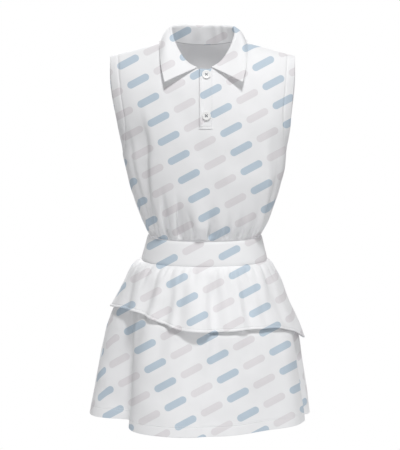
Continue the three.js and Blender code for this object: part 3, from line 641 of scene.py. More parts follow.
# Hems, by height above the edge
SKIRT_HEM_LINES = (19, 22.5)
SKIRT_HEM_ROWS = np.concatenate([[0, 1, 2.5, 5, 8, 11, 14, 16.5], np.arange(18, 24.1, 0.6), [26]])
OVERSKIRT_HEM_ROWS = np.array([0, 0.4, 0.9, 1.5, 2.2, 2.9, 3.5, 4, 4.4, 4.8, 5.3, 6, 7, 8.5])
SHORTEST_OVERSKIRT = 92
HEM_ROLL = {"half": 2.2, "height": 1.1, "groove": 2.3}
HEM_PLY = 0.5
STITCH_GROOVE = 0.6

# Puckers under or over a gathered seam: their angle, depth, width in degrees, and their length
OVERSKIRT_GATHERS = table(
    "angle depth width length",
    (-83, 2.2, 2.4, 40), (-70, 2.6, 2.0, 46), (-58, 2.0, 1.8, 34), (-49, 3.2, 2.2, 62), (-38, 3.0, 1.9, 48),
    (-31, 1.6, 1.3, 22), (-25, 3.4, 1.8, 44), (-17, 2.8, 1.7, 40), (-11, 1.6, 1.2, 20), (-5.8, 2.6, 1.6, 34),
    (1, 1.5, 1.2, 18), (9, 3.6, 2.0, 60), (15, 1.6, 1.2, 24), (21.6, 2.8, 1.7, 42), (29, 1.8, 1.4, 24),
    (37, 3.2, 2.0, 52), (45, 2.0, 1.6, 30), (57, 2.8, 2.2, 50), (68, 2.0, 2.0, 36), (80, 2.6, 2.2, 44),
    (97, 2.4, 2.0, 40), (108, 3.0, 2.0, 50), (119, 2.0, 1.6, 30), (127, 3.2, 2.0, 56), (138, 2.4, 1.6, 36),
    (146, 1.8, 1.4, 26), (155, 3.2, 1.9, 48), (164, 2.2, 1.5, 30), (173, 2.8, 1.7, 44), (183, 3.2, 2.0, 52),
    (192, 1.8, 1.4, 24), (201, 2.8, 1.8, 42), (212, 3.2, 2.0, 56), (222, 2.0, 1.5, 30), (232, 3.0, 2.0, 48),
    (244, 2.2, 1.8, 34), (255, 2.8, 2.2, 46), (265, 2.0, 2.0, 34),
)
BODICE_GATHERS = table(
    "angle depth width length",
    (-84, 1.8, 2.4, 30), (-72, 2.6, 2.2, 44), (-60, 2.0, 1.8, 30), (-50, 3.2, 2.0, 50), (-43, 1.8, 1.4, 24),
    (-37, 3.4, 1.5, 60), (-30, 1.6, 1.3, 22), (-21, 3.2, 1.4, 56), (-14, 1.8, 1.3, 24), (4, 3.0, 1.3, 44),
    (11, 2.2, 1.4, 30), (20, 2.4, 1.5, 34), (27, 1.8, 1.3, 22), (33.5, 2.8, 1.5, 40), (41, 1.6, 1.3, 22),
    (49, 3.0, 1.7, 44), (58, 2.0, 1.6, 28), (67, 2.8, 2.0, 42), (80, 2.2, 2.2, 34), (98, 2.2, 2.2, 36),
    (112, 3.0, 2.0, 50), (123, 2.0, 1.6, 28), (133, 3.0, 1.8, 46), (143, 2.0, 1.4, 26), (152, 2.8, 1.6, 40),
    (162, 2.2, 1.5, 30), (171, 3.0, 1.6, 44), (180, 1.8, 1.4, 24), (189, 2.8, 1.6, 42), (199, 2.0, 1.5, 28),
    (209, 3.0, 1.8, 46), (220, 2.2, 1.6, 30), (231, 3.0, 2.0, 46), (243, 2.0, 1.8, 28), (256, 2.6, 2.2, 38),
)
GATHER_START = 9


def gather_depth(gathers, angle, beyond):
    """The sum of a table's puckers at an angle and a distance beyond the seam."""
    depth = np.zeros(np.broadcast(angle, beyond).shape)
    for at, deep, width, length in zip(*gathers.values()):
        shown = smooth(beyond / GATHER_START) * (1 - smooth((beyond - GATHER_START) / length))
        depth = depth - deep * shown * bell(turned_from(-180, angle - at) / width)
    return depth


# Panels
BAND_SHARES = mix(0.03, 1, np.array([0, 0.04, 0.1, 0.2, 0.35, 0.5, 0.65, 0.8, 0.92, 1]))
NECK_SHARE = 0.36
HIGH_WAYS = (0, 0.12, 0.21, 0.3, 0.4, 0.5, 0.6, 0.7, 0.8, 0.9, 1)
ROWS_BESIDE_ARMHOLE = 80
ROWS_UNDER_BUST = 54
ROWS_AT_BUST = (-2.5, -0.3, 0.5, 1.2)
BUST_ROWS_LEFT_OUT = 2
COLUMNS = {"neck": 112, "side": 60, "skirt": 230, "overskirt": 200, "band": 120, "waistband": 420}
ARMHOLE_CROWDING = {"least": 0.45, "most": 6, "gap": 0.01}
LOW_ROWS = {"crowding": 1.15, "last_climb": -2, "neck": 0.8}
WAISTBAND_ROWS = 14
# The rows above a hem, and the height of the first of them over the hem's last row
SKIRT_ROWS = {"count": 100, "over_hem": 3}
OVERSKIRT_ROWS = {"count": 34, "over_hem": 2.5}
# Over how many millimetres each relief fades out towards a seam, an edge or the shoulders
BODICE_FADES = {"even": 25, "creases": 12, "overhang": 34, "shoulders": (-20, 60)}
SKIRT_FADES = {"even": 40, "under_overskirt": 14, "hem_ply": 2}
OVERSKIRT_FADE = 30
FRONT = {"half": "front", "centre": 0, "side": -1, "neck": FRONT_NECK, "seed": 11}
BACK = {"half": "back", "centre": 180, "side": 1, "neck": BACK_NECK, "seed": 47}


def column_angle(share, neck_angle, edge_angle, up):
    """The angle of a column of the bodice from the panel's middle. Under the neck the columns grow
    closer towards the high shoulder points, and the outer ones move with the armhole's edge."""
    part = np.clip(share / NECK_SHARE, -1, 1)
    crowded = signed_power(sine(90 * part), BUST["square"] / 2)
    way = np.clip((np.abs(share) - NECK_SHARE) / (1 - NECK_SHARE), 0, 1)
    kept = (edge_angle - neck_angle) / (90 - neck_angle)
    crowding = 1 + ARMHOLE_CROWDING["least"] * kept / np.maximum(ARMHOLE_CROWDING["gap"], 1 - kept)
    bent = way ** np.minimum(ARMHOLE_CROWDING["most"], crowding)
    beside = np.sign(share) * mix(neck_angle, 90, way - (1 - kept) * bent)
    return np.where(np.abs(share) <= NECK_SHARE, neck_angle * mix(part, crowded, up), beside)


def at_high_ways(places):
    """Ways up an armhole, at places that are counted in HIGH_WAYS."""
    return np.interp(places, range(len(HIGH_WAYS)), HIGH_WAYS)


def bodice_relief(points, angles, panel):
    """The puckers over the waistband and the cloth's own unevenness, along the normals."""
    levels = points[..., 2]
    above_waist = levels - WAIST_TOP_Z
    highest, below = BODICE_FADES["shoulders"]
    ease = smooth(above_waist / BODICE_FADES["even"]) * smooth((highest - levels) / below)
    even = uneven(points, "bodice", panel["seed"]) * ease
    creases = fold_depth(BODICE_CREASES, angles, levels)
    creases = creases * smooth(above_waist / BODICE_FADES["creases"])
    overhang = np.maximum(0, fold_depth(BODICE_FOLDS, angles, levels))
    drawn_in = -overhang * (1 - smooth(above_waist / BODICE_FADES["overhang"]))
    return gather_depth(BODICE_GATHERS, angles, above_waist) + creases + even + drawn_in


def raised(points, relief):
    """A grid of points moved out along its own normals."""
    return points + grid_normals(points) * relief[..., None]


def sewn_up(points, sides, panel):
    """A panel drawn in along its seams, and kept clear of the other half."""
    points = tucked(points, sides)
    points[..., 1] += panel["side"] * HALF_GAP
    return points


def bodice_panel(name, panel):
    side = spaced(COLUMNS["side"], -1, -NECK_SHARE)
    middle = np.linspace(-NECK_SHARE, NECK_SHARE, COLUMNS["neck"] + 1)[1:-1]
    shares = np.concatenate([side, middle, -side[::-1]])

    up = spaced(ROWS_UNDER_BUST, 0, 1)[:-1 - BUST_ROWS_LEFT_OUT, None]
    at_waist = WAIST_TOP_Z + HALF_GAP - BUST_Z
    low_climbs = mix(at_waist, LOW_ROWS["last_climb"], up ** LOW_ROWS["crowding"]) + 0 * shares
    neck_angles = mix(90 * NECK_SHARE * LOW_ROWS["neck"], NECK_ANGLE, smooth(up))
    low_angles = column_angle(shares, neck_angles, 90, smooth(up))

    high_ways = at_high_ways(spaced(ROWS_BESIDE_ARMHOLE, 0, len(HIGH_WAYS) - 1))
    seam_climbs, seam_angles = armhole_point(high_ways[:, None], ARMHOLE_SEAM, panel["half"])
    high_angles = column_angle(shares, NECK_ANGLE, seam_angles, 1)
    under_neck = np.abs(shares) < NECK_SHARE
    neck_tops = np.ones_like(shares)
    tops = climb_to(panel["centre"] + high_angles[0, under_neck], neckline(panel["neck"]))
    neck_tops[under_neck] = sine(tops)
    lowest = ARMHOLE_SEAM["bottom"]
    part = (sine(seam_climbs) - lowest) / (1 - lowest)
    high_climbs = arcsine(mix(lowest, neck_tops, part))

    at_bust = np.array(ROWS_AT_BUST)[:, None] + 0 * shares
    angles = panel["centre"] + np.concatenate([low_angles, high_angles[:1] + 0 * at_bust, high_angles])
    climbs = np.concatenate([low_climbs, at_bust, high_climbs])
    points = torso(angles, climbs)
    points = raised(points, bodice_relief(points, angles, panel))
    points = sewn_up(points, ("bottom", "left", "right"), panel)
    places = laid_round(points, torso_section(climbs), panel["centre"], angles, climbs)
    return shell(name, points, CLOTH, places)


def armhole_band(name, side):
    """A strip from the seam to the open edge, all round the arm, with its own seam under the arm."""
    ways = at_high_ways(np.linspace(0, len(HIGH_WAYS) - 1, COLUMNS["band"] // 2))
    share = BAND_SHARES[:, None]
    climbs, turns = [], []
    for half, part in (("front", ways), ("back", ways[-2::-1])):
        seam_climb, seam_turn = armhole_point(part, ARMHOLE_SEAM, half)
        edge_climb, edge_turn = armhole_point(part, ARMHOLE_EDGE, half)
        turn = mix(seam_turn, edge_turn, share)
        climbs.append(mix(seam_climb, edge_climb, share))
        turns.append(turn if half == "front" else 180 - turn)
    climbs, angles = np.concatenate(climbs, 1), side * np.concatenate(turns, 1)
    if side > 0:
        climbs, angles = climbs[:, ::-1], angles[:, ::-1]
    points = tucked(torso(angles, climbs), ("bottom",))
    places = laid_round(points, torso_section(climbs), 0, angles, climbs)
    return shell(name, points, CLOTH, places, free=("top",))


def waistband_strip(name):
    angles = np.linspace(-180, 180, COLUMNS["waistband"] + 1)
    levels = spaced(WAISTBAND_ROWS, WAIST_BOTTOM_Z + HALF_GAP, WAIST_TOP_Z - HALF_GAP, extra=(0.15, 0.4))
    angles, levels = np.broadcast_arrays(angles, levels[:, None])
    points = ring_point(WAISTBAND_SECTIONS, angles, levels, 0)
    points = tucked(raised(points, uneven(points, "waistband")), ("bottom", "top"))
    places = laid_round(points, section_at(WAISTBAND_SECTIONS, levels), 0, angles)
    return shell(name, points, BAND_CLOTH, places)


def half_round(columns, half, hem_rows, more, top):
    """A grid round one half of the body, from the hem up: its rows, its angles and its heights."""
    above_hem = spaced(more["count"], hem_rows[-1] + more["over_hem"], top)
    rows = np.concatenate([hem_rows, above_hem])
    angles = spaced(columns, half["centre"] - 90, half["centre"] + 90, extra=(0.3, 0.6))
    return rows, *np.broadcast_arrays(angles, rows[:, None])


def skirt_panel(name, half):
    tall = SKIRT_TOP - HEM_Z
    rows, angles, heights = half_round(COLUMNS["skirt"], half, SKIRT_HEM_ROWS, SKIRT_ROWS, tall)
    levels = HEM_Z + heights
    points = skirt(angles, levels)
    hem = sum(-STITCH_GROOVE * bell((heights - line) / STITCH_GROOVE) for line in SKIRT_HEM_LINES)
    hem = hem + HEM_PLY * (1 - smooth((heights - SKIRT_HEM_LINES[1]) / SKIRT_FADES["hem_ply"]))
    even = uneven(points, "skirt", half["seed"])
    even = even * smooth(-(levels - SKIRT_TOP) / SKIRT_FADES["even"]) * smooth(heights / SKIRT_FADES["even"])
    creases = fold_depth(SKIRT_CREASES, angles, levels)
    above = np.minimum(0, fold_depth(OVERSKIRT_CREASES, angles, levels))
    under = (levels - overskirt_edge(angles)) / SKIRT_FADES["under_overskirt"]
    points = raised(points, hem + even + (creases + above * smooth(under + 1)))
    points = sewn_up(points, ("left", "right"), half)
    sew(name, points, rows, SKIRT_HEM_LINES)
    places = laid_round(points, section_at(SKIRT_SECTIONS, levels), half["centre"], angles)
    return shell(name, points, CLOTH, places, free=("bottom",))


def overskirt_panel(name, half):
    rows, angles, heights = half_round(
        COLUMNS["overskirt"], half, OVERSKIRT_HEM_ROWS, OVERSKIRT_ROWS, SHORTEST_OVERSKIRT,
    )
    edge = overskirt_edge(angles)
    longer = SKIRT_TOP - edge - SHORTEST_OVERSKIRT
    levels = edge + heights + longer * smooth(heights / SHORTEST_OVERSKIRT)
    points = overskirt(angles, levels)
    line = HEM_ROLL["half"] * HEM_ROLL["groove"]
    roll = HEM_ROLL["height"] * np.sqrt(np.clip(1 - (heights / HEM_ROLL["half"] - 1) ** 2, 0, 1))
    groove = -STITCH_GROOVE * bell((heights - line) / STITCH_GROOVE)
    puckers = gather_depth(OVERSKIRT_GATHERS, angles, SKIRT_TOP - levels)
    even = uneven(points, "overskirt", half["seed"]) * smooth((SKIRT_TOP - levels) / OVERSKIRT_FADE)
    creases = fold_depth(OVERSKIRT_CREASES, angles, levels)
    points = raised(points, roll + groove + puckers + even + creases)
    points = sewn_up(points, ("left", "right", "top"), half)
    sew(name, points, rows, [line])
    places = laid_round(points, section_at(OVERSKIRT_SECTIONS, levels), half["centre"], angles)
    return shell(name, points, CLOTH, places, free=("bottom",))


# Collar
NUDGE = 0.4
COLLAR_STATIONS = {"front": 30, "back": 44}
ROLL_STEPS = 8
LEAF_STEPS = 20
STAND_STEPS = 9
SHOULDER_WAY = 0.56
POINT_LIFT = {"most": 5, "way": 0.55}
STAND_CREASE_GROWS = 1.4
STAND_CREASES_FROM = 0.5
KEEP_OFF = {"steps": 8, "share": 0.9}
STAND_CREASES = table(
    "x width depth",
    (-51, 4, 2.4), (-32, 7, -1.8), (-14, 5, 2.6), (8, 9, -1.6), (27, 3.4, 3.4), (37, 4, -2), (46, 3, 3.6),
)


def torso_normal(angle, climb):
    across = torso(angle + NUDGE, climb) - torso(angle - NUDGE, climb)
    rise = torso(angle, climb + NUDGE) - torso(angle, climb - NUDGE)
    return unit(np.cross(across, rise))


def neck_stations():
    """Points and normals of the neckline, from the right front end round the back to the left."""
    ends = [angle_across(COLLAR_ENDS[side], COLLAR_ENDS["climb"]) for side in ("right", "left")]
    turns = np.linspace(0, 90, COLLAR_STATIONS["front"])
    crowd = BUST["square"] / 2
    right = mix(ends[0], NECK_ANGLE, sine(turns) ** crowd)
    left = mix(ends[1], -NECK_ANGLE, sine(turns) ** crowd)[::-1]
    back_turns = np.linspace(-90, 90, COLLAR_STATIONS["back"])[1:-1]
    back = 180 + NECK_ANGLE * signed_power(sine(back_turns), crowd)
    points, normals = [], []
    for neck, angles in ((FRONT_NECK, right), (BACK_NECK, back), (FRONT_NECK, left)):
        climbs = climb_to(angles, neckline(neck))
        points.append(torso(angles, climbs))
        normals.append(torso_normal(angles, climbs))
    return np.concatenate(points), np.concatenate(normals)


def away_from_bodice(points):
    """How far points stand off the bodice above the bust, and the direction away from it."""
    def value(p):
        x, y, z = p[..., 0], p[..., 1], p[..., 2]
        risen = (z - BUST_Z) / (shoulder_height(x) - BUST_Z)
        half, shift = shoulder_spread(risen)
        across = np.clip(np.abs(x - shift) / half, 0, 1) ** BUST["square"]
        deep = np.where(y < 0, BUST["front"], BUST["back"]) * (1 - across) ** (1 / BUST["square"])
        return (y / deep) ** 2 + risen**2 - 1

    rises = [value(points + step) - value(points - step) for step in NUDGE * np.eye(3)]
    slope = np.stack(rises, -1) / (2 * NUDGE)
    return value(points) / np.linalg.norm(slope, axis=-1), unit(slope)


def keep_off(points, clearance):
    """Points that lie too close to the bodice, moved off it step by step."""
    for _ in range(KEEP_OFF["steps"]):
        distance, direction = away_from_bodice(points)
        missing = np.maximum(0, clearance - distance)
        points = points + direction * (missing * KEEP_OFF["share"])[..., None]
    return points


def collar(name):
    stations, normals = neck_stations()
    lengths = lengths_along(stations)
    way = 1 - np.abs(1 - 2 * lengths / lengths[-1])
    side = np.where(lengths < lengths[-1] / 2, 1, -1)
    ahead = unit(np.gradient(stations, axis=0))
    inwards = unit(np.cross(normals, ahead))
    out = unit(np.stack([ahead[:, 1], -ahead[:, 0], 0 * way], -1))
    edge = np.stack([along(COLLAR_ROWS, "way", way, column) for column in "xyz"], -1)
    edge[:, 0] *= side
    edge[:, 1] -= POINT_LIFT["most"] * (1 - smooth(way / POINT_LIFT["way"]))
    rolled = smooth(way / ROLLED_WAY)
    radius = mix(*ROLL_RADIUS, rolled)
    rise = along(COLLAR_ROWS, "way", way, "stand") - radius
    lean = STAND_LEAN * np.clip(rise / FULL_STAND, 0, 1)
    inset = COLLAR_CLOTH + np.maximum(0, (normals * out).sum(-1)) * CLOTH + FACET_GAP
    base = stations + inwards * STAND_INSET - out * inset[:, None]
    upright = np.array([0.0, 0.0, 1.0])
    creases = sum(
        depth * bell((stations[:, 0] - x) / width) * (way > STAND_CREASES_FROM)
        for x, width, depth in zip(*STAND_CREASES.values())
    )

    def stand_point(share):
        crease = creases * smooth(share * STAND_CREASE_GROWS)
        return base - out * (lean * share + crease)[:, None] + upright * (rise * share)[:, None]

    centre = base - out * (lean - radius + creases)[:, None] + upright * rise[:, None]

    def roll_point(turn):
        return centre - out * (radius * cosine(turn))[:, None] + upright * (radius * sine(turn))[:, None]

    turn = mix(*ROLL_TURN, rolled)
    leaf_start = keep_off(roll_point(turn), COLLAR_CLOTH + LEAF_CLEARANCE["roll"])
    swell = mix(*LEAF_SWELL, rolled) * np.linalg.norm(leaf_start - edge, axis=-1)

    def leaf_point(share):
        p = mix(leaf_start, edge, share)
        _, direction = away_from_bodice(p)
        p = p + direction * (swell * math.sin(math.pi * share))[:, None]
        return keep_off(p, COLLAR_CLOTH + mix(LEAF_CLEARANCE["inner"], LEAF_CLEARANCE["edge"], share))

    stand_rows = [stand_point(share) for share in np.linspace(0, 1, STAND_STEPS)]
    roll_rows = [roll_point(turn * share) for share in np.linspace(0, 1, ROLL_STEPS + 1)[1:-1]]
    leaf_rows = [leaf_start] + [leaf_point(share) for share in spaced(LEAF_STEPS, 0, 1, extra=(0.3, 0.6))[1:]]
    points = np.stack(stand_rows + roll_rows + leaf_rows)
    fold_row = len(stand_rows) + len(roll_rows) // 2

    x, y, z = np.moveaxis(points, -1, 0)
    widest = np.where(
        side > 0,
        np.interp(SHOULDER_WAY, way[side > 0], np.arange((side > 0).sum())),
        len(way) - 1 - np.interp(SHOULDER_WAY, way[side < 0][::-1], np.arange((side < 0).sum())),
    ).round().astype(int)
    turned = side * (2 * np.abs(x[:, widest]) - np.abs(x))
    leaf_u = np.where(way > SHOULDER_WAY, turned, x)
    is_leaf = (np.arange(len(points)) > fold_row)[:, None]
    is_above = (np.arange(len(points)) >= fold_row)[:, None]
    on_stand, on_leaf = laid(x, y, z), laid(leaf_u, -np.abs(y), z)
    places = np.where(is_leaf[..., None], on_leaf, on_stand)
    places_above = np.where(is_above[..., None], on_leaf, on_stand)
    points, places, places_above = (grid[:, ::-1] for grid in (points, places, places_above))
    return shell(name, points, COLLAR_CLOTH, places, places_above, free=("top", "left", "right"))


# Placket and buttons
FRONT_SEARCH = {"climb": 45.0, "steps": 8}
PLACKET_LIFT = SEAM_GAP + PLACKET["cloth"] + FACET_GAP
PLACKET_GRID = {"rows": 44, "columns": 26}
PLACKET_OPEN_EDGE = {"lift": 4.5, "rolled": 2.4, "reach": 6, "from_end": 12}
PLACKET_GROOVE = 2.2
PLACKET_STITCHED = 4


def on_front(x, z):
    """Points and normals of the bodice's front, by place across it and level."""
    climb = np.full(np.broadcast(x, z).shape, FRONT_SEARCH["climb"])
    for _ in range(FRONT_SEARCH["steps"]):
        angle = angle_across(x, climb)
        climb = climb_to(angle, lambda _: z)
    points, normals = torso(angle, climb), torso_normal(angle, climb)
    points = points + normals * bodice_relief(points, angle, FRONT)[..., None]
    points[..., 1] -= HALF_GAP
    return points, normals


def placket(name):
    """The strip down the front, with a raised open edge on the left and a row of stitches on the
    right and along its end, PLACKET_STITCHED rows or columns in from them."""
    top = -FRONT_NECK["drop"] - PLACKET["below_neck"]
    levels = spaced(PLACKET_GRID["rows"], PLACKET["bottom"], top)[:, None]
    across = spaced(PLACKET_GRID["columns"], PLACKET["left"], PLACKET["right"])
    points, normals = on_front(*np.broadcast_arrays(across, levels))
    inside, edge = across - PLACKET["left"], PLACKET_OPEN_EDGE
    opened = smooth(inside / edge["rolled"]) * bell(inside / edge["reach"])
    opened = opened * smooth((levels - PLACKET["bottom"]) / edge["from_end"])
    points = points + normals * (PLACKET_LIFT + edge["lift"] * opened)[..., None]
    for side in ("right", "bottom"):
        near = (distance_in(points, side) - PLACKET_GROOVE) / STITCH_GROOVE
        points = points - normals * (STITCH_GROOVE * bell(near))[..., None]
    normals, line = grid_normals(points), PLACKET_STITCHED
    SEWN[name] = [(points[2:-1, -line], normals[2:-1, -line]), (points[line, 2:-2], normals[line, 2:-2])]
    places = laid(*np.moveaxis(points, -1, 0))
    return shell(name, points, PLACKET["cloth"], places, free=("left", "right", "bottom"))


def ring_faces(rings, sides, start=0):
    """The faces between rings of vertices that follow one another."""
    return [
        (first + k, first + ahead, first + sides + ahead, first + sides + k)
        for first in range(start, start + (rings - 1) * sides, sides)
        for k, ahead in zip(range(sides), [*range(1, sides), 0])
    ]


def turned_profile(name, profile, sides):
    """A solid turned from a profile of (radius, height) points that starts and ends on its axis."""
    turns = np.linspace(0, 2 * math.pi, sides, endpoint=False)
    rings = np.array(profile[1:-1])
    vertices = [(0, 0, profile[0][1])]
    for radius, height in rings:
        vertices += [(radius * math.cos(t), radius * math.sin(t), height) for t in turns]
    vertices.append((0, 0, profile[-1][1]))
    top = len(vertices) - 1
    faces = [(0, 1 + (k + 1) % sides, 1 + k) for k in range(sides)]
    faces += ring_faces(len(rings), sides, 1)
    faces += [(top - sides + k, top - sides + (k + 1) % sides, top) for k in range(sides)]
    return add_object(name, smooth_mesh(name, vertices, faces))


# A direction that no tube runs in
ASKEW = (0.31, 0.17, 0.93)


def tube(path, radius, sides):
    """Vertices and faces of a round tube along a path of points, closed at both ends."""
    path = np.asarray(path, float)
    ahead = unit(np.gradient(path, axis=0))
    aside = unit(np.cross(ahead, ASKEW))
    upward = np.cross(ahead, aside)
    turns = np.linspace(0, 2 * math.pi, sides, endpoint=False)
    ring = np.cos(turns)[:, None, None] * aside + np.sin(turns)[:, None, None] * upward
    vertices = (path + radius * ring).transpose(1, 0, 2).reshape(-1, 3)
    caps = [tuple(range(sides))[::-1], tuple(range((len(path) - 1) * sides, len(path) * sides))]
    return vertices, ring_faces(len(path), sides) + caps


def joined(name, parts):
    """One object from several (vertices, faces) parts."""
    vertices, faces = [], []
    for some, their_faces in parts:
        start = len(vertices)
        vertices.extend(some)
        faces.extend(tuple(start + v for v in face) for face in their_faces)
    return add_object(name, smooth_mesh(name, vertices, faces))


def cut_out(obj, cutter):
    """obj without the space that the cutter takes up. The cutter is removed."""
    modifier = obj.modifiers.new("cut", "BOOLEAN")
    modifier.operation = "DIFFERENCE"
    modifier.solver = "EXACT"
    modifier.object = cutter
    bpy.context.view_layer.update()
    made = bpy.data.meshes.new_from_object(obj.evaluated_get(bpy.context.evaluated_depsgraph_get()))
    obj.modifiers.clear()
    obj.data = made
    made.materials.clear()
    bpy.data.objects.remove(cutter)


def dressed(obj, slot, *looks):
    for look in looks:
        obj.data.materials.append(look)
    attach(obj, "root")
    return obj


BUTTON = {"radius": 9.1, "thickness": 2.8, "rim": 2.0, "dish": 0.5, "rounded": 0.9, "x": 5.6}
BUTTON_HEIGHTS = (-64, -145)
BUTTON_SIDES = 72
# The foot of a button, by how far in from its side and how high. The step from its rim down into
# its dish, by how far in from the rim and the share of the dish's depth. The dish is level from
# the share of the radius called level inwards.
BUTTON_FOOT = ((0.8, 0), (0.25, 0.2), (0, 0.8))
BUTTON_STEP = ((0.3, 0.24), (0.8, 0.55), (1.6, 0.92))
BUTTON_LEVEL = 0.45
HOLE = {"radius": 1.0, "spread": 2.9, "sides": 20}
SHARP_BUTTON = math.radians(35)
# Two bundles of three strands cross the button. Each strand is level between the holes, and dives
# into them past its flat part. The middle strand of a bundle lies a little higher.
THREAD = {
    "radius": 0.32, "sides": 8, "points": 13, "ends": (-0.14, 1.14), "beside": (-0.5, 0, 0.5),
    "lift": 0.35, "dive": 1.6, "flat": 0.42, "bend": 0.22, "crown": 0.12,
}


def button_profile():
    radius, thick, rim, dish, rounded = (BUTTON[k] for k in ("radius", "thickness", "rim", "dish", "rounded"))
    foot = [(radius - inset, height) for inset, height in BUTTON_FOOT]
    edge = [
        (radius - rounded + rounded * math.cos(t), thick - rounded + rounded * math.sin(t))
        for t in np.radians([0, 22, 45, 68, 90])
    ]
    step = [(radius - rim - inset, thick - dish * share) for inset, share in BUTTON_STEP]
    return [(0, 0), *foot, *edge, *step, (radius * BUTTON_LEVEL, thick - dish), (0, thick - dish)]


def strands(corners):
    """The tubes of the thread that runs crosswise through the four holes."""
    ways = np.linspace(*THREAD["ends"], THREAD["points"])
    sunk = THREAD["dive"] * smooth((np.abs(ways - 0.5) - THREAD["flat"]) / THREAD["bend"])
    level = BUTTON["thickness"] - BUTTON["dish"] + THREAD["lift"] - sunk
    for (x0, y0), (x1, y1) in (corners[::2], corners[1::2]):
        aside = np.array([y0 - y1, x1 - x0, 0]) / math.hypot(x1 - x0, y1 - y0)
        for shift in THREAD["beside"]:
            rise = level + THREAD["crown"] * (shift == 0)
            path = np.stack([mix(x0, x1, ways), mix(y0, y1, ways), rise], -1) + shift * aside
            yield tube(path, THREAD["radius"], THREAD["sides"])


def button(name, node, level):
    body = turned_profile(name, button_profile(), BUTTON_SIDES)
    spread, thick = HOLE["spread"] / math.sqrt(2), BUTTON["thickness"]
    corners = [(spread * sx, spread * sy) for sx, sy in ((1, 1), (-1, 1), (-1, -1), (1, -1))]
    cut_out(body, joined(f"{name}_holes", [
        tube([(x, y, -thick), (x, y, 2 * thick)], HOLE["radius"], HOLE["sides"]) for x, y in corners
    ]))
    body.data.set_sharp_from_angle(angle=SHARP_BUTTON)
    thread = joined(f"{name}_thread", strands(corners))

    place, normal = on_front(np.array(BUTTON["x"]), np.array(float(level)))
    place = place + normal * (PLACKET_LIFT + 2 * SEAM_GAP)
    turn = Vector(normal).to_track_quat("Z", "Y").to_matrix().to_4x4()
    for obj, look in ((body, button_plastic), (thread, button_thread)):
        obj.data.transform(Matrix.Translation(Vector(place * MM)) @ turn)
        dressed(obj, "button", look)
    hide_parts(node)


STITCH = {"pitch": 3.4, "length": 2.5, "radius": 0.24, "lift": 0.3, "sunk": 0.4, "points": 4, "sides": 4}


def stitches(name, lines):
    """Rows of short threads. Each line is a path of points on the cloth with its normals."""
    parts, along_one = [], np.linspace(0, 1, STITCH["points"])
    lift = STITCH["lift"] * np.sin(np.pi * along_one)[:, None] - STITCH["radius"] * STITCH["sunk"]
    for points, normals in lines:
        reached = lengths_along(points)
        starts = np.arange(int(reached[-1] / STITCH["pitch"])) * STITCH["pitch"]
        ways = starts[:, None] + STITCH["length"] * along_one
        place, off = (
            np.stack([np.interp(ways, reached, values[:, k]) for k in range(3)], -1)
            for values in (points, normals)
        )
        parts += [tube(path, STITCH["radius"], STITCH["sides"]) for path in place + unit(off) * lift]
    return dressed(joined(name, parts), "print_knit", sewing_thread)


# Looks
PRINT_ROW = (21.3, -40.05)
PRINT_STEP = (55.0, 29.25)
PRINT_ORIGIN = (-41.1, 400.7)
DASH = {"half": 17.4, "radius": 7.6, "softness": 0.5}


def srgb(red, green, blue):
    def linear(value):
        value /= 255
        return value / 12.92 if value <= 0.04045 else ((value + 0.055) / 1.055) ** 2.4
    return (linear(red), linear(green), linear(blue), 1)


CLOTH_WHITE = srgb(243, 243, 244)
REVERSE_WHITE = srgb(245, 245, 246)
PRINT_BLUE = srgb(193, 207, 219)
PRINT_GREY = srgb(230, 227, 229)


def add_node(tree, kind, inputs=(), **settings):
    """A new shader node with its settings, and a value or a link for each input that is given."""
    made = tree.nodes.new("ShaderNode" + kind)
    for key, value in settings.items():
        setattr(made, key, value)
    for key, value in inputs.items() if isinstance(inputs, dict) else enumerate(inputs):
        if isinstance(value, bpy.types.NodeSocket):
            tree.links.new(value, made.inputs[key])
        else:
            made.inputs[key].default_value = value
    return made


def maths_in(tree):
    """A short way to add maths nodes to a tree."""
    return lambda operation, *inputs: add_node(tree, "Math", inputs, operation=operation).outputs[0]


def dot(tree, vector, x, y):
    return add_node(tree, "VectorMath", (vector, (x, y, 0)), operation="DOT_PRODUCT").outputs["Value"]


def mixed(tree, share, first, second, blend="MIX"):
    inputs = {0: share, 6: first, 7: second}
    return add_node(tree, "Mix", inputs, data_type="RGBA", blend_type=blend).outputs[2]


def noise(tree, place, scale, detail):
    return add_node(tree, "TexNoise", {"Vector": place, "Scale": scale, "Detail": detail}).outputs[0]


def ranged(tree, value, low, high, to_low, to_high, how="LINEAR"):
    inputs = (value, low, high, to_low, to_high)
    return add_node(tree, "MapRange", inputs, interpolation_type=how).outputs[0]


def new_material(name):
    material = bpy.data.materials.new(name)
    material.use_nodes = True
    material.node_tree.nodes.clear()
    return material


def shaded(material, inputs):
    """The material, shown by one principled shader with these inputs."""
    shader = add_node(material.node_tree, "BsdfPrincipled", inputs)
    add_node(material.node_tree, "OutputMaterial", (shader.outputs[0],))
    return material


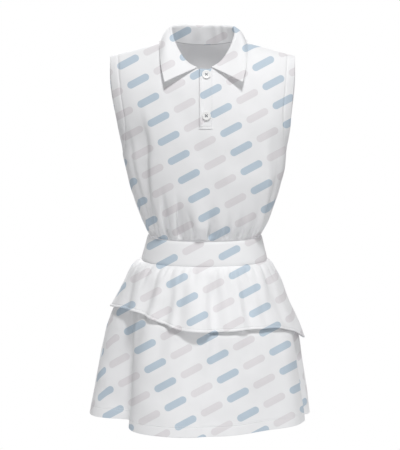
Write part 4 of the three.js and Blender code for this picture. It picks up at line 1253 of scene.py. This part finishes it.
def print_colour(tree, place, ground):
    """Rounded dashes on a slanted lattice, blue in one file and grey in the next."""
    maths = maths_in(tree)
    (row_x, row_z), (step_x, step_z) = PRINT_ROW, PRINT_STEP
    size = row_x * step_z - row_z * step_x
    row = dot(tree, place, step_z / size, -step_x / size)
    step = dot(tree, place, -row_z / size, row_x / size)
    nearest = maths("ROUND", step, 0.0)
    off_row = maths("SUBTRACT", row, maths("ROUND", row, 0.0))
    off_step = maths("ABSOLUTE", maths("SUBTRACT", step, nearest))
    across = maths("MULTIPLY", off_row, math.hypot(*PRINT_ROW))
    beyond = maths("MULTIPLY_ADD", off_step, math.hypot(*PRINT_STEP), -DASH["half"])
    beyond = maths("MAXIMUM", beyond, 0.0)
    squares = maths("ADD", maths("MULTIPLY", across, across), maths("MULTIPLY", beyond, beyond))
    outer, inner = DASH["radius"] + DASH["softness"], DASH["radius"] - DASH["softness"]
    inside = ranged(tree, maths("SQRT", squares), outer, inner, 0.0, 1.0, "SMOOTHSTEP")
    odd = maths("PINGPONG", nearest, 1.0)
    return mixed(tree, inside, ground, mixed(tree, odd, PRINT_BLUE, PRINT_GREY))


# The knit: wales across and courses up the cloth, in millimetres, under the fuzz of the yarn. Each
# noise has a scale and a detail, and each range the values it is spread from and to.
KNIT = {
    "wale": 1.2, "course": 0.96, "course_depth": 0.5, "rib_depth": 0.35, "fuzz_depth": 2.0,
    "cloud": (0.03, 3.0), "shade": (0.3, 0.7, 0.975, 1.0),
    "fuzz": (0.35, 4.0), "roughness": (0.2, 0.8, 0.58, 0.72),
    "bump": {"Strength": 0.22, "Distance": 0.1 * MM},
    "sheen": {"Specular IOR Level": 0.3, "Sheen Weight": 0.12, "Sheen Roughness": 0.5},
}


def knit_material(name, colour, printed=False, painted_glow=0.0):
    """Fine jersey: faint ribs, a little unevenness and a soft sheen, with or without the print.
    On its reverse side the cloth glows faintly in its own colour, a painted light that brightens the inside."""
    material = new_material(name)
    tree = material.node_tree
    maths = maths_in(tree)
    uv = add_node(tree, "UVMap", uv_map="cloth").outputs[0]
    scaled = (uv, (1 / MM, 1 / MM, 0), (-PRINT_ORIGIN[0], -PRINT_ORIGIN[1], 0))
    place = add_node(tree, "VectorMath", scaled, operation="MULTIPLY_ADD").outputs[0]
    base = print_colour(tree, place, colour) if printed else colour
    shade = ranged(tree, noise(tree, place, *KNIT["cloud"]), *KNIT["shade"])
    tint = add_node(tree, "CombineColor", (shade, shade, shade)).outputs[0]
    across, up, _ = add_node(tree, "SeparateXYZ", (place,)).outputs
    wales = maths("SINE", maths("MULTIPLY", across, 2 * math.pi / KNIT["wale"]))
    courses = maths("SINE", maths("MULTIPLY", up, 2 * math.pi / KNIT["course"]))
    ribs = maths("ADD", wales, maths("MULTIPLY", courses, KNIT["course_depth"]))
    fuzz = noise(tree, place, *KNIT["fuzz"])
    height = maths("MULTIPLY_ADD", fuzz, KNIT["fuzz_depth"], maths("MULTIPLY", ribs, KNIT["rib_depth"]))
    return shaded(material, {
        "Base Color": mixed(tree, 1.0, base, tint, "MULTIPLY"),
        "Roughness": ranged(tree, fuzz, *KNIT["roughness"]),
        "Normal": add_node(tree, "Bump", {**KNIT["bump"], "Height": height}).outputs[0],
        **KNIT["sheen"],
        # Painted light: the cloth glows faintly in its own colour, on the reverse side only.
        "Emission Color": colour,
        "Emission Strength": painted_glow,
    })


PLAIN = {"cloud": (400.0, 3.0), "from": (0.2, 0.8), "unevenness": 0.04}


def plain_material(name, colour, roughness, speckle=0.03):
    """An even colour with a trace of unevenness in its colour and roughness."""
    material = new_material(name)
    tree = material.node_tree
    cloud = noise(tree, add_node(tree, "TexCoord").outputs["Object"], *PLAIN["cloud"])
    darker = tuple(c * (1 - speckle) for c in colour[:3]) + (1,)
    smoother, rougher = roughness - PLAIN["unevenness"], roughness + PLAIN["unevenness"]
    return shaded(material, {
        "Base Color": mixed(tree, cloud, darker, colour),
        "Roughness": ranged(tree, cloud, *PLAIN["from"], smoother, rougher),
    })


button_plastic = plain_material("button_plastic", srgb(244, 244, 243), 0.24, 0.015)
sewing_thread = plain_material("sewing_thread", srgb(232, 232, 234), 0.6)
button_thread = plain_material("button_thread", srgb(150, 152, 157), 0.6)
floor_paint = plain_material("floor_paint", srgb(246, 246, 247), 0.7, 0.01)
CLOTH_SIDES = (
    knit_material("printed_knit", CLOTH_WHITE, printed=True),
    # The reverse side glows a little with painted light, which brightens the inside of the dress.
    knit_material("reverse_knit", REVERSE_WHITE, painted_glow=0.06),
)

# The dress: each piece of cloth with its node, its maker and what that works on, and then the size
# and the area it was cut to, how it is held, and what it rests on
CLOTHS = (
    ("bodice_front", bodice_panel, [FRONT], (0.48, 0.44), 0.163, "hung", []),
    ("bodice_back", bodice_panel, [BACK], (0.46, 0.44), 0.162, "hung", []),
    ("armhole_band_left", armhole_band, [-1], (0.47, 0.027), 0.0104, "stretched", []),
    ("armhole_band_right", armhole_band, [1], (0.47, 0.027), 0.0104, "stretched", []),
    ("waistband", waistband_strip, [], (0.75, 0.051), 0.037, "stretched", []),
    ("skirt_front", skirt_panel, [FRONT], (0.78, 0.37), 0.199, "hung", []),
    ("skirt_back", skirt_panel, [BACK], (0.78, 0.37), 0.19, "hung", []),
    ("overskirt_front", overskirt_panel, [FRONT], (0.66, 0.18), 0.067, "gathered", []),
    ("overskirt_back", overskirt_panel, [BACK], (0.64, 0.18), 0.076, "gathered", []),
    ("collar", collar, [], (0.45, 0.09), 0.032, "folded", []),
    ("placket", placket, [], (0.033, 0.125), 0.0041, "laid", ["bodice_front_cloth"]),
)
SHEETS = []
for node, maker, given, flat, area, held, rests_on in CLOTHS:
    sheet = dressed(maker(f"{node}_cloth", *given), "print_knit", *CLOTH_SIDES)
    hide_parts(node)
    SHEETS.append((sheet, flat, area, held, rests_on))
STITCHED = {
    name: stitches(name.replace("_cloth", "_stitches"), lines) for name, lines in SEWN.items()
}
for number, level in enumerate(BUTTON_HEIGHTS, 1):
    button(f"shirt_button_{number}", f"button_{number}", level)


# Light, floor and camera
def placed(name, data, location, towards):
    obj = add_object(name, data)
    obj.location = location
    obj.rotation_euler = Vector(towards).to_track_quat("-Z", "Y").to_euler()
    return obj


LIT_CENTRE = (0, -0.1, -0.15)
LIGHT_FROM = np.array([0.07, -0.5, 0.86])
LIGHT_DISTANCE = 4.3
# The lights, with their energy in watts, their size in metres, how far they spread in degrees,
# their places and the way they shine
LIGHTS = (
    ("key", "DISK", 121, 0.7, 180, LIGHT_DISTANCE * unit(LIGHT_FROM) + LIT_CENTRE, -LIGHT_FROM),
    ("fill", "SQUARE", 16, 2, 180, (2.8, -1.1, 0.1), (-2.8, 1.1, -0.5)),
    ("low", "SQUARE", 1.1, 1, 50, (-1, -2.6, -0.9), (0.9, 2.5, 0.2)),
    ("rear", "SQUARE", 75, 2, 180, (-0.8, 3.2, 1), (0.8, -3.2, -1.4)),
)
for name, shape, energy, size, spread, place, towards in LIGHTS:
    light = bpy.data.lights.new(name, "AREA")
    light.shape, light.energy, light.size, light.spread = shape, energy, size, math.radians(spread)
    placed(name, light, place, towards)

WORLD_TINT = (0.98, 0.99, 1, 1)
WORLD_LIGHT = 0.31
world = bpy.data.worlds.new("studio")
world.use_nodes = True
sky = world.node_tree
sky.nodes.clear()
seen = add_node(sky, "LightPath").outputs["Is Camera Ray"]
dim = add_node(sky, "Background", (WORLD_TINT, WORLD_LIGHT)).outputs[0]
white = add_node(sky, "Background", ((1, 1, 1, 1), 1.0)).outputs[0]
add_node(sky, "OutputWorld", (add_node(sky, "MixShader", (seen, dim, white)).outputs[0],))
bpy.context.scene.world = world
bpy.context.scene.view_settings.view_transform = "Standard"

FLOOR_Z = -1.36
FLOOR_PROFILE = [(0, -20), (1500, -20), (1600, -12), (1600, 0), (800, 0), (0, 0)]
floor = turned_profile("floor", FLOOR_PROFILE, 96)
floor.data.transform(Matrix.Translation((0, 0, FLOOR_Z)))
floor.data.materials.append(floor_paint)

FRAME_HEIGHT = 450
MM_PER_PIXEL = 2.1
SENSOR = 36
lens = bpy.data.cameras.new("camera")
lens.sensor_fit = "VERTICAL"
lens.sensor_height = SENSOR
lens.lens = SENSOR * SIGHT_REACH / MM_PER_PIXEL / FRAME_HEIGHT
back = np.array([0, -math.cos(SIGHT_TILT), math.sin(SIGHT_TILT)])
bpy.context.scene.camera = placed("camera", lens, (SIGHT_CENTRE + SIGHT_REACH * back) * MM, -back)

for sheet, flat, area, held, rests_on in SHEETS:
    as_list(rests_on)
